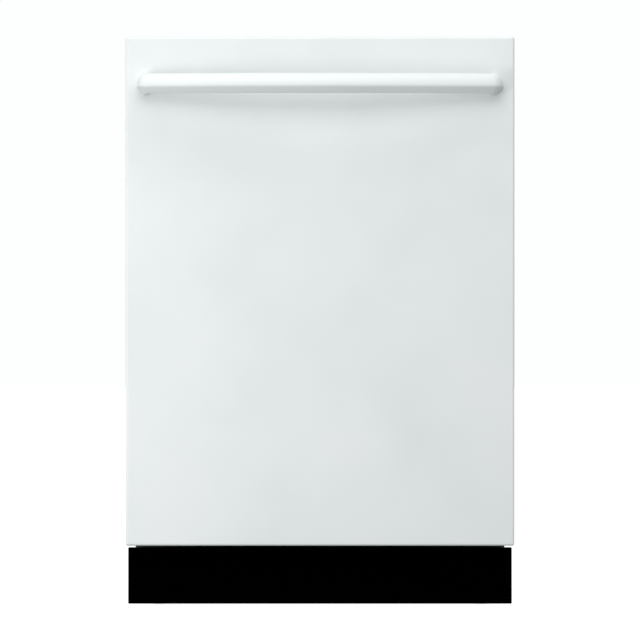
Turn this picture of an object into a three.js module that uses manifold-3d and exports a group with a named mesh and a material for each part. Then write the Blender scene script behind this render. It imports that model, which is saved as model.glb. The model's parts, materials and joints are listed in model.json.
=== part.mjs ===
// Built-in dishwasher, 600 mm niche size, with a full-width bar handle, hidden top controls,
// a black toe kick, a steel tub, two wire racks, spray arms and the wet parts in the base.
// Millimetres. +X to the right seen from the front, +Y to the back, +Z up.
// The origin is on the floor, under the middle of the whole box, so the door faces -Y.
import * as THREE from 'three';
import { mergeVertices } from 'three/addons/utils/BufferGeometryUtils.js';
import Module from 'manifold-3d';

const wasm = await Module();
wasm.setup();

// ---------------------------------------------------------------- driving dimensions

const WIDTH = 598;
const HEIGHT = 876;
const BODY_DEPTH = 602;                     // door face to the back of the sound blanket
const HANDLE_REACH = 58;                    // door face to the front of the handle's bow
const FRONT = HANDLE_REACH - (BODY_DEPTH + HANDLE_REACH) / 2;
const BACK = FRONT + BODY_DEPTH;
const GAP = 0.3;                            // between pieces that touch

const DOOR_BOTTOM = 94;
const PANEL_DEPTH = 22;                     // the folded outer panel
const RIM_Y = FRONT + 40;                   // back of the liner's rim, where the gasket seals
const PLATEAU_Y = FRONT + 62;               // back of the liner's raised middle
const LINER_HALF = 285;
const LINER_TOP = 846;
const HINGE_Y = FRONT + 20;
const HINGE_Z = 128;
const FRAME_LOW = HINGE_Z + 5;              // below this the open door's lower edge comes back

const TUB_HALF = 272;
const TUB_SHEET = 1.6;
const TUB_FRONT = FRONT + 50;
const TUB_BACK = BACK - 8;
const TUB_FLOOR = 146;
const TUB_TOP = 832;
const RAIL_TOP = HINGE_Z + PLATEAU_Y - HINGE_Y;   // level with the open door's plateau
const SUMP = { x: 48, y: 15, r: 100, wall: 99, sides: 12 };
const BASIN_R = 124;
const BASIN_FLOOR = 132;
const ARM_AXIS_Y = 40;                      // both spray arms turn about x = 0, y = 40
const FILTER = { x: 85, y: -5, r: 36 };
const DUCT_FOOT_Z = 188;                    // where the water duct comes in through the back wall

const BASE_HALF = 285;
const BASE_FRONT = FRONT + 76;
const BASE_BACK = BACK - 12;
const BASE_BOTTOM = 22;
const BASE_TOP = TUB_FLOOR - TUB_SHEET - GAP;
const KICK_FRONT = FRONT + 60;
const KICK_TOP = 89;
const KICK_BOTTOM = 2;

const RACK_HALF = 236;
const WIRE = 2;                             // half the width of a coated rack wire
const WELD = 0.4;                           // how far crossing wires sink into each other
const LOWER_FLOOR = 205;
const LOWER_RIM = 325;
const UPPER_FLOOR = 548;
const UPPER_RIM = 645;
const RACK_FRONT = FRONT + 86;
const RACK_BACK = BACK - 66;
const RAIL_Z = 600;                         // upper rack's slide rails
const WHEEL_R = 18;

// ---------------------------------------------------------------- materials

const finish = (color, roughness, metalness) =>
  new THREE.MeshStandardMaterial({ color, roughness, metalness });
const WHITE_ENAMEL = finish(0xeef1f0, 0.3, 0.0);
const WHITE_PLASTIC = finish(0xe9ecea, 0.45, 0.0);
const BLACK_PAINT = finish(0x0a0a0b, 0.5, 0.1);
const STAINLESS = finish(0xb9bcbd, 0.32, 1.0);
const GALVANISED = finish(0x9da3a6, 0.5, 0.8);
const BASE_PLASTIC = finish(0x24262a, 0.7, 0.0);
const FELT = finish(0x4b4d50, 0.95, 0.0);
const RUBBER = finish(0x2b2c2e, 0.85, 0.0);
const WIRE_COAT = finish(0xb4bcc4, 0.5, 0.0);
const GREY_PLASTIC = finish(0x8d949b, 0.55, 0.0);
const DARK_PLASTIC = finish(0x4a4f55, 0.6, 0.0);
const BITUMEN = finish(0x1b1a19, 0.9, 0.0);
const SPRING_STEEL = finish(0x8c8f92, 0.35, 1.0);

// ---------------------------------------------------------------- solids

// A closed three.js geometry as a manifold-3d solid, with its faces turned to point out.
function solid(geometry) {
  const flat = geometry.index ? geometry.toNonIndexed() : geometry;
  const bare = new THREE.BufferGeometry().setAttribute('position', flat.getAttribute('position').clone());
  const merged = mergeVertices(bare, 1e-3);
  const vertProperties = merged.attributes.position.array;
  const triVerts = new Uint32Array(merged.index.array);
  const made = new wasm.Manifold(new wasm.Mesh({ numProp: 3, vertProperties, triVerts }));
  if (made.volume() > 0) return made;
  return new wasm.Manifold(new wasm.Mesh({ numProp: 3, vertProperties, triVerts: triVerts.reverse() }));
}

function geometryOf(manifold) {
  const { vertProperties, triVerts } = manifold.getMesh();
  const geometry = new THREE.BufferGeometry();
  geometry.setAttribute('position', new THREE.BufferAttribute(vertProperties, 3));
  geometry.setIndex(new THREE.BufferAttribute(triVerts, 1));
  geometry.computeVertexNormals();
  return geometry;
}

const join = (first, ...others) => others.reduce((sum, other) => sum.add(other), first);
const cut = (first, ...others) => others.reduce((rest, other) => rest.subtract(other), first);

// The made solid as it stands on the right for side = 1, or its mirror image on the left for side = -1.
const handed = (side, made) => (side > 0 ? made : solid(geometryOf(made).scale(-1, 1, 1)));
const bothHands = (made) => [made, handed(-1, made)];

function piece(name, manifold, material, x = 0, y = 0, z = 0) {
  const mesh = new THREE.Mesh(geometryOf(manifold), material);
  mesh.name = name;
  mesh.position.set(x, y, z);
  return mesh;
}

function box(x0, x1, y0, y1, z0, z1) {
  const geometry = new THREE.BoxGeometry(x1 - x0, y1 - y0, z1 - z0);
  geometry.translate((x0 + x1) / 2, (y0 + y1) / 2, (z0 + z1) / 2);
  return solid(geometry);
}

// The same box on both sides of x = 0, as a list of two.
const boxPair = (x0, x1, ...rest) => [box(x0, x1, ...rest), box(-x1, -x0, ...rest)];

const TO_XZ = new THREE.Matrix4().makeBasis(
  new THREE.Vector3(1, 0, 0), new THREE.Vector3(0, 0, 1), new THREE.Vector3(0, -1, 0));
const TO_YZ = new THREE.Matrix4().makeBasis(
  new THREE.Vector3(0, 1, 0), new THREE.Vector3(0, 0, 1), new THREE.Vector3(1, 0, 0));

// An XY outline pushed up from z0 to z1, an XZ outline pushed from y0 to y1, a YZ outline from x0 to x1.
// A bevel narrows both ends inside that length.
function extruded(shape, depth, bevel, curveSegments = 3, bevelSegments = 1) {
  const options = { depth: depth - 2 * bevel, bevelEnabled: bevel > 0, curveSegments };
  if (bevel > 0) {
    Object.assign(options, { bevelThickness: bevel, bevelSize: bevel, bevelOffset: -bevel, bevelSegments });
  }
  return new THREE.ExtrudeGeometry(shape, options).translate(0, 0, bevel);
}
const extrudeZ = (shape, z0, z1, bevel = 0, ...steps) =>
  solid(extruded(shape, z1 - z0, bevel, ...steps).translate(0, 0, z0));
const extrudeY = (shape, y0, y1, bevel = 0, ...steps) =>
  solid(extruded(shape, y1 - y0, bevel, ...steps).applyMatrix4(TO_XZ).translate(0, y1, 0));
const extrudeX = (shape, x0, x1, bevel = 0, ...steps) =>
  solid(extruded(shape, x1 - x0, bevel, ...steps).applyMatrix4(TO_YZ).translate(x0, 0, 0));

function outline(points) {
  return new THREE.Shape(points.map(([u, v]) => new THREE.Vector2(u, v)));
}

function roundedRect(u0, u1, v0, v1, r) {
  const shape = new THREE.Shape();
  shape.moveTo(u0 + r, v0);
  shape.lineTo(u1 - r, v0);
  shape.absarc(u1 - r, v0 + r, r, -Math.PI / 2, 0);
  shape.lineTo(u1, v1 - r);
  shape.absarc(u1 - r, v1 - r, r, 0, Math.PI / 2);
  shape.lineTo(u0 + r, v1);
  shape.absarc(u0 + r, v1 - r, r, Math.PI / 2, Math.PI);
  shape.lineTo(u0, v0 + r);
  shape.absarc(u0 + r, v0 + r, r, Math.PI, 1.5 * Math.PI);
  return shape;
}

// A round bar between two points.
function rod(from, to, radius, sides = 12) {
  const a = new THREE.Vector3(...from);
  const b = new THREE.Vector3(...to);
  const along = b.clone().sub(a);
  const geometry = new THREE.CylinderGeometry(radius, radius, along.length(), sides);
  const turn = new THREE.Quaternion().setFromUnitVectors(new THREE.Vector3(0, 1, 0), along.normalize());
  geometry.applyQuaternion(turn);
  geometry.translate((a.x + b.x) / 2, (a.y + b.y) / 2, (a.z + b.z) / 2);
  return solid(geometry);
}

const diskZ = (x, y, r, z0, z1, sides = 20) => rod([x, y, z0], [x, y, z1], r, sides);
const diskX = (y, z, r, x0, x1, sides = 16) => rod([x0, y, z], [x1, y, z], r, sides);
const diskY = (x, z, r, y0, y1, sides = 16) => rod([x, y0, z], [x, y1, z], r, sides);

// A profile of [radius, height] pairs turned about Z, then moved.
function turned(profile, sides = 20, at = [0, 0, 0]) {
  const lathe = new THREE.LatheGeometry(profile.map(([r, z]) => new THREE.Vector2(r, z)), sides);
  return solid(lathe.rotateX(Math.PI / 2).translate(...at));
}

// A skin over rings of equal point count: either closed by a face at each end, or run round into a loop.
function loft(rings, looped = false) {
  const count = rings[0].length;
  const positions = [];
  const face = (...corners) => corners.forEach((p) => positions.push(p.x, p.y, p.z));
  for (let i = looped ? 0 : 1; i < rings.length; i += 1) {
    const before = rings[(i + rings.length - 1) % rings.length];
    for (let k = 0; k < count; k += 1) {
      const next = (k + 1) % count;
      face(before[k], before[next], rings[i][next]);
      face(before[k], rings[i][next], rings[i][k]);
    }
  }
  const first = rings[0];
  const last = rings[rings.length - 1];
  for (let k = 1; k < count - 1 && !looped; k += 1) {
    face(first[0], first[k + 1], first[k]);
    face(last[0], last[k], last[k + 1]);
  }
  const geometry = new THREE.BufferGeometry();
  geometry.setAttribute('position', new THREE.Float32BufferAttribute(positions, 3));
  return solid(geometry);
}

// A bent wire of square section through points that lie in one plane, mitred where it bends.
function wire(points, planeNormal, half = WIRE, looped = false) {
  const normal = new THREE.Vector3(...planeNormal);
  const path = points.map((point) => new THREE.Vector3(...point));
  const count = path.length;
  const legs = path.map((point, i) =>
    normal.clone().cross(path[(i + 1) % count].clone().sub(point).normalize()));
  const rings = path.map((centre, i) => {
    const after = !looped && i === count - 1 ? legs[i - 1] : legs[i];
    const before = !looped && i === 0 ? after : legs[(i + count - 1) % count];
    const mitre = before.clone().add(after).normalize();
    const reach = half / mitre.dot(after);
    return [[1, 1], [-1, 1], [-1, -1], [1, -1]].map(([u, v]) =>
      centre.clone().addScaledVector(normal, u * half).addScaledVector(mitre, v * reach));
  });
  return loft(rings, looped);
}

// A squared-off ellipse: half-widths a and b along two directions, round a centre.
function ovalRing(centre, across, a, up, b, points = 12, power = 0.8) {
  return Array.from({ length: points }, (_, k) => {
    const angle = (2 * Math.PI * (k + 0.5)) / points;
    const u = Math.sign(Math.cos(angle)) * Math.abs(Math.cos(angle)) ** power * a;
    const v = Math.sign(Math.sin(angle)) * Math.abs(Math.sin(angle)) ** power * b;
    return centre.clone().addScaledVector(across, u).addScaledVector(up, v);
  });
}

const UP = new THREE.Vector3(0, 0, 1);

// ---------------------------------------------------------------- door

const door = new THREE.Group();

// The folded sheet outer panel: a shallow tray open at the back, slotted below for the hinge brackets.
function doorPanel() {
  const sheet = 1.2;
  const back = FRONT + PANEL_DEPTH;
  const half = WIDTH / 2;
  const tray = extrudeY(roundedRect(-half, half, DOOR_BOTTOM, HEIGHT, 3), FRONT, back + 3, 2.5, 2, 2);
  const inner = half - sheet;
  const hollow = box(-inner, inner, FRONT + sheet, back + 4, DOOR_BOTTOM + sheet, HEIGHT - sheet);
  const behind = box(-half - 1, half + 1, back, back + 4, DOOR_BOTTOM - 1, HEIGHT + 1);
  const slots = boxPair(288, 294.5, FRONT + 4, back + 1, DOOR_BOTTOM - 1, DOOR_BOTTOM + 3);
  return cut(tray, hollow, behind, ...slots);
}
door.add(piece('door_panel', doorPanel(), WHITE_ENAMEL));

// A bitumen mat glued inside the panel keeps the door quiet.
door.add(piece('door_sound_mat', box(-262, 262, FRONT + 1.5, FRONT + 7, 130, 840), BITUMEN));

const DISPENSER = { half: 100, low: 480, high: 590 };

// The pressed steel inner door: a box rim with a raised middle, open to the front.
function doorLiner() {
  const sheet = 1.2;
  const front = FRONT + PANEL_DEPTH + GAP;
  const low = HINGE_Z - 20;
  const rim = extrudeY(roundedRect(-LINER_HALF, LINER_HALF, low, LINER_TOP, 6), front, RIM_Y, 0, 2);
  const raised = extrudeY(roundedRect(-266, 266, 150, 824, 26), RIM_Y - 14, PLATEAU_Y, 7, 3);
  const inner = LINER_HALF - sheet;
  const inRim = box(-inner, inner, front - 1, RIM_Y - sheet, low + sheet, LINER_TOP - sheet);
  const pocket = roundedRect(-266 + sheet, 266 - sheet, 150 + sheet, 824 - sheet, 25);
  const inRaised = extrudeY(pocket, RIM_Y - 14, PLATEAU_Y - sheet, 6.5, 3);
  const { half, low: sill, high: head } = DISPENSER;
  const window = box(7 - half, half - 7, RIM_Y, PLATEAU_Y + 2, sill + 7, head - 7);
  const beads = [-1, 1].map((side) => {
    const middle = side * 178;
    const bead = roundedRect(middle - 44, middle + 44, 250, 730, 20);
    return extrudeY(bead, PLATEAU_Y - 0.9, PLATEAU_Y + 1.6, 1.2, 2);
  });
  return cut(join(rim, raised, ...beads), inRim, inRaised, window);
}
door.add(piece('door_liner', doorLiner(), STAINLESS));

// The control strip along the door's top edge, with a hole for each button, a shallow seat for the
// display's window and a mouth for the latch.
const BUTTON_Y = FRONT + 34;
const BUTTONS = [
  ['power_button', -236], ['cycle_button_1', -150], ['cycle_button_2', -122],
  ['cycle_button_3', -94], ['start_button', 236],
];
const STRIP_TOP = HEIGHT - 1.2;
const DISPLAY = { x0: 8, x1: 196, half: 7, deep: 0.6 };

function controlStrip() {
  const back = RIM_Y + 6;
  const body = extrudeX(roundedRect(FRONT + PANEL_DEPTH + GAP, back, 848, STRIP_TOP, 2), -284, 284, 0, 2);
  const hollow = box(-282, 282, FRONT + PANEL_DEPTH - 1, back - 2, 850, STRIP_TOP - 2);
  const latchMouth = box(-30, 30, back - 4, back + 1, 847, STRIP_TOP - 3);
  const holes = BUTTONS.map(([, x]) => {
    const mouth = roundedRect(x - 9 - GAP, x + 9 + GAP, BUTTON_Y - 5 - GAP, BUTTON_Y + 5 + GAP, 4.5);
    return extrudeZ(mouth, STRIP_TOP - 4, STRIP_TOP + 1, 0, 1);
  });
  const windowSeat = extrudeZ(
    roundedRect(DISPLAY.x0, DISPLAY.x1, BUTTON_Y - DISPLAY.half, BUTTON_Y + DISPLAY.half, 3),
    STRIP_TOP - DISPLAY.deep, STRIP_TOP + 1, 0, 1);
  return cut(body, hollow, latchMouth, windowSeat, ...holes);
}
door.add(piece('control_strip', controlStrip(), WHITE_PLASTIC));

// Push buttons: rounded keys that stand 0.9 mm proud of the strip.
for (const [name, x] of BUTTONS) {
  const key = extrudeZ(roundedRect(-9, 9, -5, 5, 4.2), 0, 8, 0.8, 1);
  door.add(piece(name, key, GREY_PLASTIC, x, BUTTON_Y, STRIP_TOP - 7.1));
}

// The latch: a case in the door's top edge, and a sprung pawl over the striker's way in.
const PAWL = { y: FRONT + 37, z: 865.5 };

function latchCase() {
  const back = RIM_Y + 5;
  const y0 = FRONT + PANEL_DEPTH + 2;
  const body = box(-27, 27, y0, back, 851, 871.5);
  const mouth = box(-14, 14, y0 + 1.6, back + 1, 852.5, 861.5);
  const pawlRoom = box(-9, 9, y0 + 3, back + 1, 860, 870.5);
  return join(cut(body, mouth, pawlRoom), diskX(PAWL.y, PAWL.z, 1.6, -10, 10, 12));
}
door.add(piece('latch_case', latchCase(), DARK_PLASTIC));

function latchPawl() {
  const lever = extrudeX(outline([[-8, -3], [5, -3], [7, -2], [7, 0], [2, 3], [-6, 3], [-8, 1]]), -7.5, 7.5);
  return cut(lever, diskX(0, 0, 1.9, -9, 9, 12));
}
door.add(piece('latch_pawl', latchPawl(), SPRING_STEEL, 0, PAWL.y, PAWL.z));

// The handle: a hollow-backed bar bowed away from the door, whose ends turn back to the panel.
const BAR = { half: 262.5, z: 803.7, deep: 18, tall: 15.4, endReach: 25, bow: 24, bendR: 9.5 };
const BOW_R = (BAR.half ** 2 + BAR.bow ** 2) / (2 * BAR.bow);
const BOW_SLOPE = Math.asin(BAR.half / BOW_R);

// The bar's section round a centre: a full upper front, a sharp turn under at a third of its height,
// a slope back below that, and a flat back.
function barSection(centre, across, grow = 1) {
  const edge = -5;
  const brow = { deep: BAR.deep / 3, high: BAR.tall - edge };
  const corners = [];
  for (let i = 0; i <= 4; i += 1) {
    const angle = (Math.PI / 8) * (4 - i);
    corners.push([brow.deep + (BAR.deep - brow.deep) * Math.cos(angle), edge + brow.high * Math.sin(angle)]);
  }
  corners.push([8, -14.2], [5, -BAR.tall], [1.5, -BAR.tall], [0, -13.5], [0, 13.5], [1.5, BAR.tall]);
  return corners.map(([deep, high]) =>
    centre.clone().addScaledVector(across, grow * (deep - BAR.deep / 2)).addScaledVector(UP, grow * high));
}

// A point of the bar's middle line, and the direction across the bar there.
function barStation(x) {
  const angle = Math.asin(x / BOW_R);
  const y = FRONT - BAR.endReach + BOW_R * (Math.cos(BOW_SLOPE) - Math.cos(angle));
  const centre = new THREE.Vector3(x, y, BAR.z);
  return { centre, across: new THREE.Vector3(Math.sin(angle), -Math.cos(angle), 0) };
}

function handleBar() {
  const stations = 12;
  const rings = [];
  for (let i = 0; i <= stations; i += 1) {
    const { centre, across } = barStation((BAR.half - GAP) * ((2 * i) / stations - 1));
    rings.push(barSection(centre, across));
  }
  return loft(rings);
}
door.add(piece('handle_bar', handleBar(), WHITE_ENAMEL));

// One end of the handle: a tight quarter bend, then a foot that flares a little against the door.
function handlePost(side) {
  const steps = 6;
  const start = barStation(side * BAR.half);
  const pivot = start.centre.clone().addScaledVector(start.across, -BAR.bendR);
  const rings = [];
  for (let i = 0; i <= steps; i += 1) {
    const turn = BOW_SLOPE + ((Math.PI / 2 - BOW_SLOPE) * i) / steps;
    const across = new THREE.Vector3(side * Math.sin(turn), -Math.cos(turn), 0);
    rings.push(barSection(pivot.clone().addScaledVector(across, BAR.bendR), across));
  }
  const footX = pivot.x + side * BAR.bendR;
  const outward = new THREE.Vector3(side, 0, 0);
  for (const [off, grow] of [[6, 1], [2.5, 1.025], [GAP, 1.08]]) {
    rings.push(barSection(new THREE.Vector3(footX, FRONT - off, BAR.z), outward, grow));
  }
  return loft(rings);
}
door.add(piece('handle_post_left', handlePost(-1), WHITE_ENAMEL));
door.add(piece('handle_post_right', handlePost(1), WHITE_ENAMEL));

// The detergent and rinse-aid dispenser, set in the liner's window.
const CUP = { x0: -86, x1: -18, z0: 497, z1: 573 };

function dispenserBody() {
  const { half, low, high } = DISPENSER;
  const plate = extrudeY(roundedRect(-half, half, low, high, 10), PLATEAU_Y + GAP, PLATEAU_Y + 3.3, 0.8, 2);
  const body = box(8 - half, half - 8, FRONT + 30, PLATEAU_Y + 1, low + 8, high - 8);
  const cup = extrudeY(roundedRect(CUP.x0, CUP.x1, CUP.z0, CUP.z1, 12), PLATEAU_Y - 26, PLATEAU_Y + 5, 0, 2);
  const filler = diskY(82, 535, 10, PLATEAU_Y - 12, PLATEAU_Y + 5, 12);
  return cut(join(plate, body), cup, filler);
}
door.add(piece('dispenser_body', dispenserBody(), DARK_PLASTIC));

// The lid slides sideways over the cup, with a raised grip.
function dispenserLid() {
  const y = PLATEAU_Y + 3.3 + GAP;
  const plate = extrudeY(roundedRect(CUP.x0 - 7, CUP.x1 + 7, CUP.z0 - 7, CUP.z1 + 7, 10), y, y + 3, 0.8, 2);
  const grip = extrudeY(roundedRect(CUP.x1 - 9, CUP.x1 - 1, 512, 558, 3.5), y + 1, y + 6, 1, 2);
  return join(plate, grip);
}
door.add(piece('dispenser_lid', dispenserLid(), GREY_PLASTIC));

// The rinse-aid cap: a bayonet plug with a finger bar, turning about Y.
const RINSE_CAP = { x: 82, z: 535 };

function rinseCap() {
  const face = PLATEAU_Y + 3.3 + GAP;
  const plug = diskY(0, 0, 9.5, face - 9, face + 1, 12);
  const head = diskY(0, 0, 13.5, face, face + 3, 20);
  const bar = box(-2.5, 2.5, face + 2, face + 8, -11, 11);
  return join(plug, head, bar);
}
door.add(piece('rinse_aid_cap', rinseCap(), GREY_PLASTIC, RINSE_CAP.x, 0, RINSE_CAP.z));

// Hinge arms: a strap up the side of the liner and a grooveless quadrant that the spring cord lies on.
const QUADRANT_R = 24;
const ARM_X = LINER_HALF + GAP;

function hingeArm(side) {
  const shape = new THREE.Shape();
  const strap = { front: HINGE_Y + 3, back: RIM_Y - 3, top: 330 };
  shape.moveTo(HINGE_Y - 9, HINGE_Z);
  shape.absarc(HINGE_Y, HINGE_Z, 9, Math.PI, 2 * Math.PI);
  shape.lineTo(HINGE_Y + QUADRANT_R, HINGE_Z);
  shape.absarc(HINGE_Y, HINGE_Z, QUADRANT_R, 0, Math.PI / 2);
  shape.lineTo(strap.front, strap.top);
  shape.lineTo(HINGE_Y - 5, strap.top);
  shape.lineTo(HINGE_Y - 9, HINGE_Z + 30);
  const arm = extrudeX(shape, ARM_X, ARM_X + 3, 0, 6);
  const eye = diskX(HINGE_Y, HINGE_Z, 5.6, ARM_X - 1, ARM_X + 4, 10);
  return handed(side, cut(arm, eye));
}
door.add(piece('hinge_arm_left', hingeArm(-1), GALVANISED));
door.add(piece('hinge_arm_right', hingeArm(1), GALVANISED));

// ---------------------------------------------------------------- tub and its covers

const body = new THREE.Group();

function tub() {
  const outside = roundedRect(-TUB_HALF, TUB_HALF, TUB_FLOOR - TUB_SHEET, TUB_TOP, 24);
  const shell = extrudeY(outside, TUB_FRONT - 12, TUB_BACK, 12, 3, 2);
  const inner = TUB_HALF - TUB_SHEET;
  const hollow = extrudeY(
    roundedRect(-inner, inner, TUB_FLOOR, TUB_TOP - TUB_SHEET, 23),
    TUB_FRONT - 30, TUB_BACK - TUB_SHEET, 11.5, 3, 2);
  const beforeFront = box(-400, 400, TUB_FRONT - 40, TUB_FRONT, 0, 1000);
  const frame = roundedRect(-LINER_HALF, LINER_HALF, FRAME_LOW, 868, 4);
  const flange = extrudeY(frame, TUB_FRONT, TUB_FRONT + TUB_SHEET, 0, 2);
  const basin = diskZ(SUMP.x, SUMP.y, BASIN_R + TUB_SHEET, BASIN_FLOOR - TUB_SHEET, TUB_FLOOR - 0.4, 24);
  const inBasin = diskZ(SUMP.x, SUMP.y, BASIN_R, BASIN_FLOOR, TUB_FLOOR + 2, 24);
  const sumpHole = diskZ(SUMP.x, SUMP.y, SUMP.r, BASIN_FLOOR - 10, BASIN_FLOOR + 2, 20);
  const ductHole = diskY(0, DUCT_FOOT_Z, 14, TUB_BACK - 8, TUB_BACK + 1, 14);
  const pressed = cut(join(shell, flange, basin), beforeFront, hollow, inBasin, sumpHole, ductHole);
  return join(pressed, ...tubBeads(inner));
}

// Stiffening beads pressed into the side walls and the back.
function tubBeads(inner) {
  const beads = [];
  for (const z of [350, 460, 740]) {
    const side = extrudeX(roundedRect(-150, 270, z - 11, z + 11, 10.5), inner - 2.6, inner + 0.8, 1.2, 1);
    beads.push(...bothHands(side));
  }
  for (const x of [-150, 150]) {
    const back = TUB_BACK - TUB_SHEET;
    beads.push(extrudeY(roundedRect(x - 13, x + 13, 260, 760, 12.5), back - 2.6, back + 0.8, 1.2, 1));
  }
  return beads;
}
body.add(piece('tub', tub(), STAINLESS));

// The track that the lower rack's wheels run on: a folded angle along each side and a strip behind
// that joins them and stops the rack.
const TRACK = { inner: 244, outer: TUB_HALF - TUB_SHEET - 0.5, front: PLATEAU_Y + 5, back: TUB_BACK - 26 };

function wheelTrack() {
  const sheet = 2;
  const foot = TUB_FLOOR + GAP;
  const { inner, outer, front, back } = TRACK;
  const angle = outline([
    [inner, foot], [inner + sheet, foot], [inner + sheet, RAIL_TOP - sheet], [outer, RAIL_TOP - sheet],
    [outer, RAIL_TOP], [inner, RAIL_TOP],
  ]);
  const strip = box(-inner - 1, inner + 1, back - 16, back, foot, foot + sheet);
  return join(...bothHands(extrudeY(angle, front, back)), strip);
}
body.add(piece('wheel_track', wheelTrack(), STAINLESS));

// The door gasket runs up both sides and over the top of the opening, on the tub's flange. It starts
// where the liner's lower corner has swung past.
function gasket() {
  const outer = roundedRect(-LINER_HALF + 1.5, LINER_HALF - 1.5, 90, 844, 30);
  outer.holes.push(roundedRect(-TUB_HALF + 1, TUB_HALF - 1, 91, TUB_TOP - 1, 20));
  const ring = extrudeY(outer, RIM_Y + GAP, TUB_FRONT - GAP, 0, 4);
  return cut(ring, box(-400, 400, FRONT, 0, 0, HINGE_Z + 22));
}
body.add(piece('door_gasket', gasket(), RUBBER));

// Felt over the tub's sides, top and back.
function soundBlanket() {
  const thick = 7.5;
  const outer = TUB_HALF + 0.5 + thick;
  const outside = roundedRect(-outer, outer, 200, TUB_TOP + 0.5 + thick, 14);
  const cover = extrudeY(outside, TUB_FRONT + 52, BACK, 0, 3);
  const room = box(-TUB_HALF - 0.5, TUB_HALF + 0.5, TUB_FRONT, TUB_BACK + 0.5, 190, TUB_TOP + 0.5);
  return cut(cover, room);
}
body.add(piece('sound_blanket', soundBlanket(), FELT));

// Side frames: an angle up the tub's front edge, with the bracket and pin that carry the door.
function sideFrame(side) {
  const y = TUB_FRONT + TUB_SHEET + 0.6;
  const front = box(274, 297, y, y + 1.8, FRAME_LOW, 862);
  const flank = box(295.4, 297, y, y + 38, FRAME_LOW, 862);
  const plate = new THREE.Shape();
  plate.moveTo(HINGE_Y, HINGE_Z - 11);
  plate.lineTo(y + 90, HINGE_Z - 11);
  plate.lineTo(y + 90, HINGE_Z + 11);
  plate.lineTo(y + 20, HINGE_Z + 17);
  plate.lineTo(y, HINGE_Z + 40);
  plate.lineTo(HINGE_Y, HINGE_Z + 11);
  plate.absarc(HINGE_Y, HINGE_Z, 11, Math.PI / 2, 1.5 * Math.PI);
  const bracket = extrudeX(plate, 289.6, 292, 0, 3);
  const pin = diskX(HINGE_Y, HINGE_Z, 5, ARM_X - 0.2, 295, 10);
  const spacer = diskX(y + 76, HINGE_Z, 8, BASE_HALF + GAP, 290, 8);
  const cordSlot = box(281, 295, y - 1, y + 4, HINGE_Z + 21, HINGE_Z + 31);
  return handed(side, join(cut(join(front, flank, bracket), cordSlot), pin, spacer));
}
body.add(piece('side_frame_left', sideFrame(-1), GALVANISED));
body.add(piece('side_frame_right', sideFrame(1), GALVANISED));

// Counterbalance springs along the tub, each with its cord to the hinge arm's quadrant.
const SPRING = { r: 6, front: FRONT + 172, back: FRONT + 352, turns: 7 };
const CORD_R = 1.4;
const CORD_Z = HINGE_Z + QUADRANT_R + GAP + CORD_R;

function counterSpring(side) {
  const profile = [[0, 0]];
  const pitch = (SPRING.back - SPRING.front) / SPRING.turns;
  for (let i = 0; i < SPRING.turns; i += 1) {
    profile.push([SPRING.r - 2, i * pitch], [SPRING.r, (i + 0.5) * pitch]);
  }
  profile.push([SPRING.r - 2, SPRING.turns * pitch], [0, SPRING.turns * pitch]);
  const geometry = new THREE.LatheGeometry(profile.map(([r, h]) => new THREE.Vector2(r, h)), 6);
  const x = side * (ARM_X + 1.5);
  const coil = solid(geometry.translate(x, SPRING.front, CORD_Z));
  const cord = rod([x, HINGE_Y + 1.5, CORD_Z], [x, SPRING.front + 2, CORD_Z], CORD_R, 8);
  const hook = rod([x, SPRING.back - 2, CORD_Z], [x, SPRING.back + 9, CORD_Z], CORD_R, 8);
  return join(coil, cord, hook);
}
body.add(piece('counter_spring_left', counterSpring(-1), SPRING_STEEL));
body.add(piece('counter_spring_right', counterSpring(1), SPRING_STEEL));

// The striker that the latch closes over, on the flange above the tub's opening.
function striker() {
  const y = TUB_FRONT - GAP;
  const plate = box(-22, 22, y - 1.6, y, 846, 867);
  const tongue = box(-9, 9, y - 22, y - 1, 854, 857);
  const nose = box(-9, 9, y - 22, y - 18, 856, 860);
  return join(plate, tongue, nose);
}
body.add(piece('striker', striker(), SPRING_STEEL));

// Brackets that screw up into the worktop: a foot on the tub, a riser and a drilled top plate.
function worktopBracket() {
  const foot = box(-20, 20, -14, 18, 0, 1.6);
  const riser = box(-20, 20, -14, -12.4, 0, 40);
  const top = box(-20, 20, -14, 24, 38.4, 40);
  const holes = [-11, 11].map((x) => diskZ(x, 10, 2.6, 36, 42, 10));
  return cut(join(foot, riser, top), ...holes);
}
const BRACKET_X = 190;
const BRACKET_Z = HEIGHT - 40.5;
const BRACKET_FOOT = TUB_TOP + GAP;
for (const [name, x] of [['worktop_bracket_left', -BRACKET_X], ['worktop_bracket_right', BRACKET_X]]) {
  const packing = box(-20, 20, -14, 18, BRACKET_FOOT - BRACKET_Z, 0.2);
  body.add(piece(name, join(worktopBracket(), packing), GALVANISED, x, TUB_FRONT + 20, BRACKET_Z));
}

// ---------------------------------------------------------------- base, feet and toe kick

const base = new THREE.Group();
const FOOT_X = 250;
const FEET = [
  ['foot_front_left', -FOOT_X, BASE_FRONT + 40], ['foot_front_right', FOOT_X, BASE_FRONT + 40],
  ['foot_rear_left', -FOOT_X, BASE_BACK - 40], ['foot_rear_right', FOOT_X, BASE_BACK - 40],
];

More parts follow.
